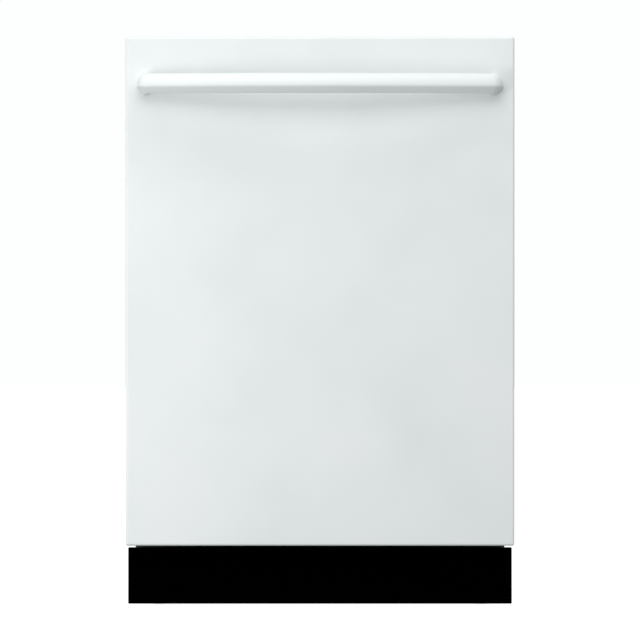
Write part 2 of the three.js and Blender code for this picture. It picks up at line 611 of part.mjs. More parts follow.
// The moulded tray under the tub: walls stiffened by ribs outside and on the floor, foot bosses, and an
// access opening behind the toe kick.
function baseTray() {
  const wall = 3;
  const outside = roundedRect(-BASE_HALF, BASE_HALF, BASE_FRONT, BASE_BACK, 10);
  const inside = roundedRect(-BASE_HALF + wall, BASE_HALF - wall, BASE_FRONT + wall, BASE_BACK - wall, 7);
  const outer = extrudeZ(outside, BASE_BOTTOM, BASE_TOP, 0, 2);
  const inner = extrudeZ(inside, BASE_BOTTOM + wall, BASE_TOP + 1, 0, 2);
  const access = box(-215, 215, BASE_FRONT - 1, BASE_FRONT + wall + 1, 46, 128);
  const hoseWindow = box(-240, -150, BASE_BACK - wall - 1, BASE_BACK + 1, 40, 90);
  const ledges = boxPair(226, BASE_HALF - 1, BASE_FRONT + 1, BASE_BACK - 1, BASE_TOP - 3, BASE_TOP);
  const ribs = [-190, 190].map((x) =>
    box(x - 1.5, x + 1.5, BASE_FRONT + 1, BASE_BACK - 1, BASE_BOTTOM + 1, BASE_BOTTOM + 12));
  const cross = [BASE_FRONT + 95, BASE_BACK - 95].map((y) =>
    box(-BASE_HALF + 1, BASE_HALF - 1, y - 1.5, y + 1.5, BASE_BOTTOM + 1, BASE_BOTTOM + 12));
  const bosses = FEET.map(([, x, y]) => diskZ(x, y, 14, BASE_BOTTOM, 66, 8));
  const threads = FEET.map(([, x, y]) => diskZ(x, y, 7, BASE_BOTTOM - 1, 63, 8));
  const sideRibs = Array.from({ length: 10 }, (_, i) => BASE_FRONT + 36 + 46 * i).flatMap((y) =>
    boxPair(BASE_HALF - 1, BASE_HALF + 2, y, y + 3, BASE_BOTTOM + 8, BASE_TOP - 14));
  const ears = boxPair(281, 291, SPRING.back + 9 + GAP, SPRING.back + 15, BASE_TOP - 20, CORD_Z + 6);
  const walls = cut(outer, inner, access, hoseWindow);
  return cut(join(walls, ...ledges, ...ribs, ...cross, ...sideRibs, ...bosses, ...ears), ...threads);
}
base.add(piece('base_tray', baseTray(), BASE_PLASTIC));

// Levelling feet: a ribbed pad, a hexagon for the spanner and a threaded stem up in its boss.
function levellingFoot() {
  const pad = turned([[0, 0], [18, 0], [20, 2], [20, 6], [11, 9], [0, 9]], 10);
  const hexagon = diskZ(0, 0, 10, 8, 17, 6);
  const stem = diskZ(0, 0, 6, 16, 60, 8);
  return join(pad, hexagon, stem);
}
for (const [name, x, y] of FEET) base.add(piece(name, levellingFoot(), DARK_PLASTIC, x, y, 0));

// The black toe kick: a folded channel across the full width.
function kickPlate() {
  const sheet = 1.6;
  const half = WIDTH / 2 - 2;
  const back = BASE_FRONT - GAP;
  const low = KICK_BOTTOM + sheet;
  const channel = box(-half, half, KICK_FRONT, back, KICK_BOTTOM, KICK_TOP);
  const inside = box(-half - 1, half + 1, KICK_FRONT + sheet, BASE_FRONT, low, KICK_TOP - sheet);
  const tabs = boxPair(228, 262, back - sheet, back, KICK_BOTTOM, KICK_TOP);
  return join(cut(channel, inside), ...tabs);
}
base.add(piece('toe_kick', kickPlate(), BLACK_PAINT));

// ---------------------------------------------------------------- wet parts under the tub

const wet = new THREE.Group();
const PIPE_R = 13.5;
const PIPE_TOP = 181;

// The moulded sump under the basin, with the pipe that feeds and carries the lower arm.
function sump() {
  const { wall } = SUMP;
  const bowl = turned([
    [0, 68], [94, 68], [wall, 73], [wall, 126], [110, 126], [110, 129], [93, 129], [93, 74], [0, 74],
  ], SUMP.sides, [SUMP.x, SUMP.y, 0]);
  const pipe = cut(
    diskZ(0, ARM_AXIS_Y, PIPE_R, 70, PIPE_TOP, 12), diskZ(0, ARM_AXIS_Y, PIPE_R - 3, 76, PIPE_TOP + 1, 12));
  return join(bowl, pipe);
}
wet.add(piece('sump', sump(), DARK_PLASTIC));

// The flat fine filter lies in the basin, round the arm's pipe and the filter cup.
function filterPlate() {
  const plate = diskZ(SUMP.x, SUMP.y, BASIN_R - 3, BASIN_FLOOR + GAP, BASIN_FLOOR + 2.3, 24);
  const lip = diskZ(FILTER.x, FILTER.y, FILTER.r + 8, BASIN_FLOOR + GAP, BASIN_FLOOR + 4, 16);
  const pipeHole = diskZ(0, ARM_AXIS_Y, PIPE_R + 1, BASIN_FLOOR - 1, BASIN_FLOOR + 4, 12);
  const cupHole = diskZ(FILTER.x, FILTER.y, FILTER.r + 1, BASIN_FLOOR - 1, BASIN_FLOOR + 6, 16);
  return cut(join(plate, lip), pipeHole, cupHole);
}
wet.add(piece('fine_filter', filterPlate(), STAINLESS));

// The coarse filter cup: a barred cylinder with a bow handle. It turns a quarter turn to unlock.
function filterCup() {
  const height = 46;
  const sides = 16;
  const room = diskZ(0, 0, FILTER.r - 3, -height + 3, 1, sides);
  const wall = cut(diskZ(0, 0, FILTER.r, -height, 0, sides), room);
  const slots = [
    box(-FILTER.r - 2, FILTER.r + 2, -13, 13, -height + 8, -10),
    box(-13, 13, -FILTER.r - 2, FILTER.r + 2, -height + 8, -10),
  ];
  const rim = cut(diskZ(0, 0, FILTER.r + 6, 0, 3, sides), diskZ(0, 0, FILTER.r - 3, -1, 4, sides));
  const handle = box(-FILTER.r + 1, FILTER.r - 1, -3, 3, 0, 12);
  const finger = box(-FILTER.r + 9, FILTER.r - 9, -4, 4, -1, 8);
  return join(cut(wall, ...slots), rim, cut(handle, finger));
}
wet.add(piece('filter_cup', filterCup(), GREY_PLASTIC, FILTER.x, FILTER.y, BASIN_FLOOR + 4 + GAP));

// The room that the sump's wall takes up, which the pumps' pipes end against.
const sumpRoom = () =>
  turned([[0, 60], [SUMP.wall + GAP, 60], [SUMP.wall + GAP, 125], [0, 125]], SUMP.sides, [SUMP.x, SUMP.y, 0]);

// The circulation pump with its flow heater: a ribbed motor lying along X, a volute and a stub to the sump.
function circulationPump() {
  const profile = [[0, 0], [36, 0], [38, 12]];
  for (const along of [24, 58]) {
    profile.push([38, along], [41, along + 2], [41, along + 14], [38, along + 16]);
  }
  profile.push([38, 94], [47, 96], [47, 122], [20, 126], [20, 200], [0, 200]);
  const lathe = new THREE.LatheGeometry(profile.map(([r, along]) => new THREE.Vector2(r, along)), 12);
  const machine = solid(lathe.rotateZ(-Math.PI / 2).translate(-214, 70, 92));
  return join(cut(machine, sumpRoom()), box(-200, -130, 50, 90, BASE_BOTTOM + 12 + GAP, 62));
}
wet.add(piece('circulation_pump', circulationPump(), BASE_PLASTIC));

function drainPump() {
  const profile = [[0, 0], [24, 0], [26, 3], [26, 43], [30, 43], [30, 60], [0, 60]];
  const motor = turned(profile, 14, [196, -110, 40]);
  const spigot = rod([196, -110, 92], [250, -110, 92], 7);
  const inlet = rod([196, -110, 91.5], [SUMP.x + 70, SUMP.y - 60, 91.5], 7.5);
  return join(motor, spigot, cut(inlet, sumpRoom()));
}
wet.add(piece('drain_pump', drainPump(), DARK_PLASTIC));

// The solenoid valve on the water supply, threaded to the front.
function inletValve() {
  const block = box(-231, -197, -150, -106, 40, 74);
  const coil = diskZ(-214, -120, 16, 72, 104, 12);
  const thread = diskY(-214, 57, 13, -176, -149, 14);
  return join(block, coil, thread);
}
wet.add(piece('inlet_valve', inletValve(), GREY_PLASTIC));

// The junction box for the house wiring, with its screwed lid.
function junctionBox() {
  const back = extrudeY(roundedRect(70, 150, 34, 84, 4), -184, -136, 0, 1);
  const lid = extrudeY(roundedRect(67, 153, 31, 87, 4), -187, -183, 1, 1);
  return join(back, lid);
}
wet.add(piece('junction_box', junctionBox(), GALVANISED));

// The water duct climbs the tub's back wall and runs forward under the ceiling to the top nozzle.
function feedDuct() {
  const y = TUB_BACK - TUB_SHEET - 12;
  const ceiling = TUB_TOP - TUB_SHEET - 12;
  const bendR = 34;
  const path = [[y, DUCT_FOOT_Z - 22]];
  for (let i = 0; i <= 4; i += 1) {
    const angle = (Math.PI / 8) * i;
    path.push([y - bendR + bendR * Math.cos(angle), ceiling - bendR + bendR * Math.sin(angle)]);
  }
  path.push([ARM_AXIS_Y, ceiling]);
  const rings = path.map(([py, pz], i) => {
    const before = path[Math.max(0, i - 1)];
    const after = path[Math.min(path.length - 1, i + 1)];
    const out = new THREE.Vector3(0, after[1] - before[1], before[0] - after[0]).normalize();
    return ovalRing(new THREE.Vector3(0, py, pz), new THREE.Vector3(1, 0, 0), 20, out, 9, 10, 0.6);
  });
  const port = diskY(0, 534, 13, RACK_BACK + 6, y, 20);
  const nozzle = [[0, -14], [24, -12], [30, -6], [30, 0], [12, 3], [0, 3]];
  const head = turned(nozzle, 14, [0, ARM_AXIS_Y, ceiling - 5]);
  const foot = diskY(0, DUCT_FOOT_Z, 12, y, TUB_BACK - GAP, 12);
  return join(loft(rings), port, head, foot);
}
wet.add(piece('feed_duct', feedDuct(), GREY_PLASTIC));

// A spray arm's blade: two swept wings round a hub, with raised jets. Origin on its axis.
function sprayArm(reach, thick, hubR, hubLow, hubHigh) {
  const wing = new THREE.Shape();
  wing.moveTo(0, -34);
  wing.quadraticCurveTo(reach * 0.5, -30, reach - 22, -24);
  wing.absarc(reach - 20, -6, 18, -Math.PI / 2, Math.PI / 2);
  wing.quadraticCurveTo(reach * 0.45, 18, 30, 34);
  wing.lineTo(0, 34);
  wing.quadraticCurveTo(-reach * 0.5, 30, 22 - reach, 24);
  wing.absarc(20 - reach, 6, 18, Math.PI / 2, 1.5 * Math.PI);
  wing.quadraticCurveTo(-reach * 0.45, -18, -30, -34);
  const blade = extrudeZ(wing, 0, thick, thick * 0.3, 3);
  const jets = [];
  for (const share of [0.36, 0.62, 0.88]) {
    for (const side of [-1, 1]) {
      jets.push(diskZ(side * reach * share, side * (2 - 8 * share), 5, thick - 1, thick + 2, 5));
    }
  }
  return join(blade, diskZ(0, 0, hubR, hubLow, hubHigh, 16), ...jets);
}

function lowerArm() {
  return cut(sprayArm(228, 14, 25, -6, 24), diskZ(0, 0, PIPE_R + 0.9, -8, 20, 14));
}
wet.add(piece('lower_spray_arm', lowerArm(), GREY_PLASTIC, 0, ARM_AXIS_Y, 162));

// ---------------------------------------------------------------- racks

const CROSS_WIRES_Y = [-136, -40, 56, 152];
const ALONG_WIRES = 7;
const HANGER = 46;                          // half the length of the plates that carry wheels and rollers

// A welded wire basket. Heavier rails run round outside U-shaped wires: those that run front to
// back lie on those that run across. The front leans in below by `lean`.
function basket({ half, front, back, low, high, lean, rails }) {
  const rimHalf = WIRE + 0.6;
  const inset = rimHalf + WIRE - WELD;
  const cross = low - 2 * WIRE + WELD;
  const level = (z) => {
    const near = front + (lean * (high - z)) / (high - low);
    return [[-half, near, z], [half, near, z], [half, back, z], [-half, back, z]];
  };
  const wires = rails.map((z) => wire(level(z), [0, 0, 1], rimHalf, true));
  for (let i = 1; i <= ALONG_WIRES; i += 1) {
    const x = half * ((2 * i) / (ALONG_WIRES + 1) - 1);
    const near = front + inset;
    const far = back - inset;
    const path = [[x, near, high + 1], [x, near + lean, low], [x, far, low], [x, far, high + 1]];
    wires.push(wire(path, [1, 0, 0]));
  }
  for (const y of CROSS_WIRES_Y) {
    const x = half - inset;
    wires.push(wire([[-x, y, high + 1], [-x, y, cross], [x, y, cross], [x, y, high + 1]], [0, 1, 0]));
  }
  return wasm.Manifold.union(wires);
}

const lower = new THREE.Group();
const WHEELS_X = 252;
const WHEELS_Y = [RACK_FRONT + 98, RACK_BACK - 84];
const AXLE_Z = RAIL_TOP + GAP + WHEEL_R;

// Fold-down rows of plate tines, each on a rod that turns in clips over a cross wire.
const TINE_ROWS = [['folding_tines_front', CROSS_WIRES_Y[1]], ['folding_tines_rear', CROSS_WIRES_Y[2]]];
const TINE_Z = LOWER_FLOOR + WIRE + 3.2;
const TINES_X = [-206, 122];

function lowerRack() {
  const frame = basket({
    half: RACK_HALF, front: RACK_FRONT, back: RACK_BACK, low: LOWER_FLOOR, high: LOWER_RIM, lean: 22,
    rails: [LOWER_RIM, (LOWER_FLOOR + LOWER_RIM) / 2],
  });
  const carriers = [];
  for (const y of WHEELS_Y) {
    const hub = box(226, 240, y - 11, y + 11, AXLE_Z - 8, LOWER_FLOOR - 1);
    const hanger = box(224, 232, y - HANGER, y + HANGER, LOWER_FLOOR - 7, LOWER_FLOOR + 3);
    const axle = diskX(y, AXLE_Z, 4, 230, WHEELS_X + 8, 8);
    carriers.push(...bothHands(join(hub, hanger, axle)));
  }
  const clips = [];
  for (const [, y] of TINE_ROWS) {
    for (const x of [TINES_X[0] - 8, TINES_X[1] + 8]) {
      const clip = box(x - 3, x + 3, y - 6, y + 6, LOWER_FLOOR - 5, TINE_Z + 5);
      clips.push(cut(clip, rod([x - 4, y, TINE_Z], [x + 4, y, TINE_Z], WIRE + 0.7, 8)));
    }
  }
  return join(frame, ...carriers, ...clips);
}
lower.add(piece('lower_rack', lowerRack(), WIRE_COAT));

// Rack wheels: a crowned tyre with a raised hub, running free on its axle.
function rackWheel() {
  const profile = [[4.3, -6], [9, -6], [18, -4.5], [18, 4.5], [9, 6], [4.3, 6], [4.3, -6]];
  const lathe = new THREE.LatheGeometry(profile.map(([r, along]) => new THREE.Vector2(r, along)), 12);
  return solid(lathe.rotateZ(-Math.PI / 2));
}
['front', 'rear'].forEach((end, i) => {
  for (const [hand, side] of [['left', -1], ['right', 1]]) {
    const name = `rack_wheel_${end}_${hand}`;
    lower.add(piece(name, rackWheel(), GREY_PLASTIC, side * WHEELS_X, WHEELS_Y[i], AXLE_Z));
  }
});

function tineRow() {
  const tall = 84;
  const step = (TINES_X[1] - TINES_X[0]) / 8;
  const rods = [rod([TINES_X[0] - 13, 0, 0], [TINES_X[1] + 13, 0, 0], WIRE + 0.2, 6)];
  for (let x = TINES_X[0]; x <= TINES_X[1] + 0.1; x += step) {
    rods.push(wire([[x, 0, 0], [x, 0, tall - 14], [x, -5, tall]], [1, 0, 0], WIRE - 0.3));
  }
  return wasm.Manifold.union(rods);
}
for (const [name, y] of TINE_ROWS) lower.add(piece(name, tineRow(), WIRE_COAT, 0, y, TINE_Z));

// The cutlery basket: an open moulded box in six cells, with slotted walls and a carrying bow.
const CUTLERY = { x0: 144, x1: 224, y0: -140, y1: 110, z0: LOWER_FLOOR + WIRE + 0.6, tall: 118 };

function cutleryBasket() {
  const { x0, x1, y0, y1, z0, tall } = CUTLERY;
  const wall = 2.4;
  const outer = extrudeZ(roundedRect(x0, x1, y0, y1, 8), z0, z0 + tall, 0, 2);
  const cells = [];
  const slots = [];
  const cellLong = (y1 - y0 - wall) / 3;
  for (let i = 0; i < 3; i += 1) {
    const low = y0 + wall + i * cellLong;
    for (const [left, right] of [[x0 + wall, (x0 + x1 - wall) / 2], [(x0 + x1 + wall) / 2, x1 - wall]]) {
      cells.push(box(left, right, low, low + cellLong - wall, z0 + wall, z0 + tall + 1));
    }
    for (const share of [0.15, 0.5, 0.85]) {
      const y = low + (cellLong - wall) * share;
      slots.push(box(x0 - 1, x1 + 1, y - 5, y + 5, z0 + 14, z0 + 84));
    }
  }
  const middle = (x0 + x1) / 2;
  const bow = cut(
    extrudeX(roundedRect(y0 + 60, y1 - 60, z0 + 60, z0 + tall + 42, 26), middle - 2.5, middle + 2.5, 0, 4),
    extrudeX(roundedRect(y0 + 72, y1 - 72, z0 + 60, z0 + tall + 30, 18), middle - 4, middle + 4, 0, 4),
    box(x0, x1, y0, y1, z0, z0 + tall - 20));
  return join(cut(outer, ...cells, ...slots), bow);
}
lower.add(piece('cutlery_basket', cutleryBasket(), DARK_PLASTIC));

const upper = new THREE.Group();

// The upper rack: shallower, with two fixed rows of cup tines and two rollers a side for the slide rails.
const RACK_ROLLERS_Y = [100, 196];

function upperRack() {
  const half = RACK_HALF - 6;
  const frame = basket({
    half, front: RACK_FRONT, back: RACK_BACK, low: UPPER_FLOOR, high: UPPER_RIM, lean: 12,
    rails: [UPPER_RIM],
  });
  const tines = [];
  for (const i of [3, 5]) {
    const x = half * ((2 * i) / (ALONG_WIRES + 1) - 1);
    for (let y = -88; y <= 220; y += 96) {
      tines.push(wire([[x, y, UPPER_FLOOR], [x + 12, y, UPPER_FLOOR + 60]], [0, 1, 0], WIRE - 0.3));
    }
  }
  const carriers = [];
  for (const y of RACK_ROLLERS_Y) {
    const hanger = box(half - 7, half - 1, y - HANGER, y + HANGER, RAIL_Z - 12, RAIL_Z + 9);
    const axle = diskX(y, RAIL_Z, 4, half - 3, 246, 6);
    carriers.push(...bothHands(join(hanger, axle, diskX(y, RAIL_Z, 10.5, 245.4, 252.4, 12))));
  }
  return join(frame, ...tines, ...carriers);
}
upper.add(piece('upper_rack', upperRack(), WIRE_COAT));

// Slide rails: an H section, gripping the tub's rollers outside and carrying the rack's inside.
function slideRail(side) {
  const top = RAIL_Z + 12.6;
  const low = RAIL_Z - 12.6;
  const profile = outline([
    [244.5, low], [265, low], [265, low + 1.6], [255.6, low + 1.6], [255.6, top - 1.6], [265, top - 1.6],
    [265, top], [244.5, top], [244.5, top - 1.6], [254, top - 1.6], [254, low + 1.6], [244.5, low + 1.6],
  ]);
  return handed(side, extrudeY(profile, RACK_FRONT + 3, RACK_BACK));
}
upper.add(piece('slide_rail_left', slideRail(-1), STAINLESS));
upper.add(piece('slide_rail_right', slideRail(1), STAINLESS));

// Roller plates on the tub's side walls, two rollers on each.
function railRollers(side) {
  const wallX = TUB_HALF - TUB_SHEET - GAP;
  const plate = box(wallX - 2, wallX, -200, -6, RAIL_Z - 20, RAIL_Z + 20);
  const rollers = [-176, -30].map((y) =>
    join(diskX(y, RAIL_Z, 10.5, 257, 265.5, 12), diskX(y, RAIL_Z, 4, 265, wallX - 1, 6)));
  return handed(side, join(plate, ...rollers));
}
upper.add(piece('rail_rollers_left', railRollers(-1), GREY_PLASTIC));
upper.add(piece('rail_rollers_right', railRollers(1), GREY_PLASTIC));

// The tube under the upper rack that meets the duct's port and carries the upper arm.
const TUBE_Z = 534;

function rackTube() {
  const ring = ([y, wide, high]) =>
    ovalRing(new THREE.Vector3(0, y, TUBE_Z), new THREE.Vector3(1, 0, 0), wide, UP, high, 12, 0.7);
  const tube = loft([
    [RACK_BACK + 5.4, 13, 10], [RACK_BACK - 10, 13, 10], [RACK_BACK - 30, 13, 6.5],
    [60, 15, 6.5], [14, 18, 6.5],
  ].map(ring));
  const stub = diskZ(0, ARM_AXIS_Y, 10, 514, TUBE_Z, 12);
  return join(tube, stub);
}
upper.add(piece('upper_feed_tube', rackTube(), GREY_PLASTIC));

function upperArm() {
  return cut(sprayArm(214, 12, 22, -2, 19), diskZ(0, 0, 10.9, 4, 22, 12));
}
upper.add(piece('upper_spray_arm', upperArm(), GREY_PLASTIC, 0, ARM_AXIS_Y, 506));

// ---------------------------------------------------------------- the whole machine

const dishwasher = new THREE.Group();
dishwasher.add(door, body, base, wet, lower, upper);

export default dishwasher;
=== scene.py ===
"""A fully integrated built-in dishwasher: white door with a bowed bar handle, black toe kick,
steel tub, two wire racks, spray arms and the wet parts below. Metres, +Z up, the door faces -Y."""
import json
import random
from math import asin, copysign, cos, radians, sin, tau

import bmesh
import bpy
from bmesh import ops
from mathutils import Matrix, Vector
from mathutils.geometry import delaunay_2d_cdt

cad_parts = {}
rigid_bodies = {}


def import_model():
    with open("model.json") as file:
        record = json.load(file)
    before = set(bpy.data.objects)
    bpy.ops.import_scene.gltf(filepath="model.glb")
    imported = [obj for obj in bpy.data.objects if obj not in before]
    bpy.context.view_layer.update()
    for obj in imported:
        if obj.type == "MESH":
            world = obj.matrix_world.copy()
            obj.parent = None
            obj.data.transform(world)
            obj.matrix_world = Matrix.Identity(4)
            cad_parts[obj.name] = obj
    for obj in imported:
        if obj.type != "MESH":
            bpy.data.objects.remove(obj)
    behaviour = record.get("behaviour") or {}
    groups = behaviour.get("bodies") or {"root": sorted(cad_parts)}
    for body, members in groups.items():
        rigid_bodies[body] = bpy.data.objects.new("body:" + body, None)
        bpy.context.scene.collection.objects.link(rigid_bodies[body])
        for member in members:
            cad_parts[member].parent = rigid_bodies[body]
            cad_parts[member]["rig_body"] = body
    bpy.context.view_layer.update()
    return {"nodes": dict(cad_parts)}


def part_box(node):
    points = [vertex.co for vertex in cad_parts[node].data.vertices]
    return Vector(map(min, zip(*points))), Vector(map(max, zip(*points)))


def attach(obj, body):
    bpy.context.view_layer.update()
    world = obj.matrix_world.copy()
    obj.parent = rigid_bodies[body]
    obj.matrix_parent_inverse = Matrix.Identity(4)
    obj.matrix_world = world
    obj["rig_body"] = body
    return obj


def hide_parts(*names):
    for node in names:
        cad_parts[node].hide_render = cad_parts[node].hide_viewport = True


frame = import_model()
scene = bpy.context.scene
link = scene.collection.objects.link


# ---- studio
# A pale floor and a white surround; a large soft light above the front, a strip over the door's top
# edge and a low fill on the left; a long lens square to the door.

MM = 0.001
HANDS = ((-1, "left"), (1, "right"))
door_low, door_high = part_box("door_panel")
MIDDLE_HEIGHT = 0.441
CAMERA_DISTANCE = 9.0
FRAME_WIDTH = 0.9837  # what the view spans at the door's face
SENSOR_WIDTH = 36  # millimetres


def linear(code):
    """An sRGB hex colour as linear RGBA."""
    parts = [int(code[i:i + 2], 16) / 255 for i in (0, 2, 4)]
    return [c / 12.92 if c <= 0.04045 else ((c + 0.055) / 1.055) ** 2.4 for c in parts] + [1.0]


def add(tree, kind, settings={}, links={}):
    """A node with its settings, which are sockets or properties, and its input links."""
    node = tree.nodes.new(kind)
    for name, value in settings.items():
        if isinstance(name, int) or name in node.inputs:
            node.inputs[name].default_value = value
        else:
            setattr(node, name, value)
    for name, (source, output) in links.items():
        tree.links.new(source.outputs[output], node.inputs[name])
    return node


camera = bpy.data.objects.new("camera", bpy.data.cameras.new("camera"))
camera.data.sensor_width = SENSOR_WIDTH
camera.data.lens = SENSOR_WIDTH * CAMERA_DISTANCE / FRAME_WIDTH
camera.data.clip_end = 60
camera.location = (0, door_low.y - CAMERA_DISTANCE, MIDDLE_HEIGHT)
camera.rotation_euler = (radians(90), 0, 0)
link(camera)
scene.camera = camera


def softbox(name, place, aim, size, power):
    """A rectangular light of a size in metres and a power in watts."""
    light = bpy.data.lights.new(name, "AREA")
    light.shape = "RECTANGLE"
    light.size, light.size_y = size
    light.energy = power
    lamp = bpy.data.objects.new(name, light)
    lamp.location = place
    lamp.rotation_euler = (Vector(aim) - Vector(place)).to_track_quat("-Z", "Y").to_euler()
    link(lamp)


softbox("key", (-0.1, -2.1, 2.1), (0, -0.3, 0.6), (2.0, 1.3), 17)
softbox("top_light", (0, -0.85, 2.3), (0, -0.33, 0.8), (1.6, 0.3), 5)
softbox("left_fill", (-1.3, -1.5, 0.4), (0.1, -0.3, 0.2), (0.9, 0.7), 10)

AMBIENT, MIRRORED, SEEN = 0.69, 0.68, 1.0  # the surround's strength as light, in gloss and as backdrop
world = bpy.data.worlds.new("white surround")
world.use_nodes = True
scene.world = world
surround = world.node_tree
background = surround.nodes["Background"]
rays = add(surround, "ShaderNodeLightPath")
lit = add(surround, "ShaderNodeMix", {2: AMBIENT, 3: MIRRORED}, {0: (rays, "Is Glossy Ray")})
seen = add(surround, "ShaderNodeMix", {3: SEEN}, {0: (rays, "Is Camera Ray"), 2: (lit, 0)})
surround.links.new(seen.outputs[0], background.inputs["Strength"])
background.inputs["Color"].default_value = linear("fdffff")
scene.view_settings.view_transform = "Standard"


# ---- finishes

class Finish:
    """A material named for its finish, with patterns laid out in object coordinates."""

    def __init__(self, name, colour, rough, metal=0.0, specular=0.5):
        self.made = bpy.data.materials.new(name)
        self.made.use_nodes = True
        self.tree = self.made.node_tree
        self.shader = self.tree.nodes["Principled BSDF"]
        for socket, value in (("Base Color", linear(colour)), ("Roughness", rough), ("Metallic", metal),
                              ("Specular IOR Level", specular), ("IOR", 1.5)):
            self.shader.inputs[socket].default_value = value
        self.coords = add(self.tree, "ShaderNodeTexCoord")

    def drive(self, socket, source):
        self.tree.links.new(source.outputs[0], self.shader.inputs[socket])

    def pattern(self, kind, size, **settings):
        """A texture, one unit of it to the given length, or to each of three, in metres."""
        size = size if isinstance(size, tuple) else (size,) * 3
        scaled = add(self.tree, "ShaderNodeMapping", {"Scale": [1 / s for s in size]},
                     {"Vector": (self.coords, "Object")})
        return add(self.tree, kind, {"Scale": 1.0, **settings}, {"Vector": (scaled, 0)})

    def noise(self, size, detail=2.0, distortion=0.0):
        return self.pattern("ShaderNodeTexNoise", size, Detail=detail, Distortion=distortion)

    def cells(self, size, randomness=1.0):
        return self.pattern("ShaderNodeTexVoronoi", size, Randomness=randomness)

    def combined(self, operation, one, other):
        return add(self.tree, "ShaderNodeMath", {"operation": operation}, {0: (one, 0), 1: (other, 0)})

    def bump(self, height, depth):
        """Raises the surface by `depth` millimetres where the height is 1."""
        raised = add(self.tree, "ShaderNodeBump", {"Distance": depth * MM}, {"Height": (height, 0)})
        self.drive("Normal", raised)

    def spread(self, source, low, high, to_low, to_high, output=0):
        """Maps a value from one span to another, held at the ends."""
        return add(self.tree, "ShaderNodeMapRange", {"From Min": low, "From Max": high, "To Min": to_low,
                   "To Max": to_high}, {"Value": (source, output)})

    def roughen(self, *span):
        self.drive("Roughness", self.spread(*span))

    def tint(self, source, dark, light, low=0.0, high=1.0):
        """A colour that runs between two hex colours as a value runs from low to high."""
        ramp = add(self.tree, "ShaderNodeValToRGB", {}, {"Fac": (source, 0)})
        for end, at, colour in zip(ramp.color_ramp.elements, (low, high), (dark, light)):
            end.position = at
            end.color = linear(colour)
        self.drive("Base Color", ramp)


def finished(*start, **more):
    """Turns the function below into the material it describes."""
    def build(describe):
        it = Finish(*start, **more)
        describe(it)
        return it.made
    return build


def rolled_steel(name, long_grain, rough):
    """Stainless sheet: fine rolling lines one way, a soft cloud of reflection over them."""
    it = Finish(name, "d6d8d9", rough, metal=1.0)
    lines = it.noise(long_grain, 3.0)
    cloud = it.noise(0.2, 1.0)
    it.tint(cloud, "d0d3d4", "dcdedf", 0.3, 0.7)
    it.roughen(it.combined("ADD", lines, cloud), 0.7, 1.3, rough - 0.04, rough + 0.05)
    it.bump(lines, 0.003)
    return it.made


def plastic(name, dark, light, rough, grain=0.7, depth=0.012, specular=0.45):
    """A moulded plastic: slight clouds in its colour and the fine texture of its mould."""
    it = Finish(name, light, rough, specular=specular)
    flow = it.noise(0.09)
    it.tint(flow, dark, light, 0.35, 0.65)
    it.roughen(flow, 0.3, 0.7, rough - 0.06, rough + 0.06)
    it.bump(it.noise(grain * MM), depth)
    return it.made


@finished("pale studio floor", "a0a1a1", 0.9, specular=0.1)
def floor_finish(it):
    """Matte grey under the machine's shadow, as pale as the surround to the camera."""
    it.shader.inputs["Emission Color"].default_value = (1, 1, 1, 1)
    seen = add(it.tree, "ShaderNodeLightPath")
    lift = add(it.tree, "ShaderNodeMapRange", {"To Max": 0.95}, {"Value": (seen, "Is Camera Ray")})
    it.drive("Emission Strength", lift)


floor_data = bpy.data.meshes.new("floor")
floor_data.from_pydata([(-30, -30, 0), (30, -30, 0), (30, 30, 0), (-30, 30, 0)], [], [(0, 1, 2, 3)])
floor_data.materials.append(floor_finish)
floor = bpy.data.objects.new("floor", floor_data)
link(floor)


# ---- shared ways of making pieces

SAME = 0.001 * MM  # corners this near are one


def outward(bm):
    ops.recalc_face_normals(bm, faces=bm.faces[:])


def cut_at(bm, spot, facing, drop=False):
    """Cuts a mesh along a plane and, with drop, takes away the part that the plane faces."""
    ops.bisect_plane(bm, geom=bm.verts[:] + bm.edges[:] + bm.faces[:], plane_co=spot, plane_no=facing,
                     clear_outer=drop)


def unique(parts):
    return list(dict.fromkeys(parts))


def verts_in(geom):
    return [g for g in geom if isinstance(g, bmesh.types.BMVert)]


def edges_in(geom):
    return [g for g in geom if isinstance(g, bmesh.types.BMEdge)]


def ribs(bm, count, centre, low, high, round_by, start=0.0, axis="Z"):
    """The same block several times round an axis through a centre."""
    for k in range(count):
        turn = Matrix.Rotation(tau * (k + start) / count, 4, axis)
        block(bm, low, high, round_by, 1, turn=Matrix.Translation(Vector(centre) * MM) @ turn)


def make(name, bm, finishes, *nodes, crease=32, beside=False):
    """Turns a finished bmesh into a piece that stands for CAD nodes, or goes beside the first, and
    rides on that one's body."""
    ops.remove_doubles(bm, verts=bm.verts[:], dist=SAME)
    ops.dissolve_degenerate(bm, edges=bm.edges[:], dist=SAME)
    ops.delete(bm, geom=[e for e in bm.edges if not e.link_faces], context="EDGES")
    outward(bm)
    mesh = bpy.data.meshes.new(name)
    bm.to_mesh(mesh)
    bm.free()
    for polygon in mesh.polygons:
        polygon.use_smooth = True
    mesh.set_sharp_from_angle(angle=radians(crease))
    piece = bpy.data.objects.new(name, mesh)
    link(piece)
    piece.modifiers.new("flat faces stay flat", "WEIGHTED_NORMAL").keep_sharp = True
    for one in finishes if isinstance(finishes, list) else [finishes]:
        mesh.materials.append(one)
    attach(piece, frame["nodes"][nodes[0]]["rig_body"])
    if not beside:
        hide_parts(*nodes)
    return piece


def makes(name, finishes, *nodes, **more):
    """Runs the function below on a new bmesh, and makes a piece of what it draws there."""
    def build(shape):
        bm = bmesh.new()
        shape(bm)
        return make(name, bm, finishes, *nodes, **more)
    return build


def circle(count, radius, start=0.0):
    """Evenly spaced points on a circle round the origin."""
    turns = [tau * (k + start) / count for k in range(count)]
    return [(radius * cos(turn), radius * sin(turn)) for turn in turns]


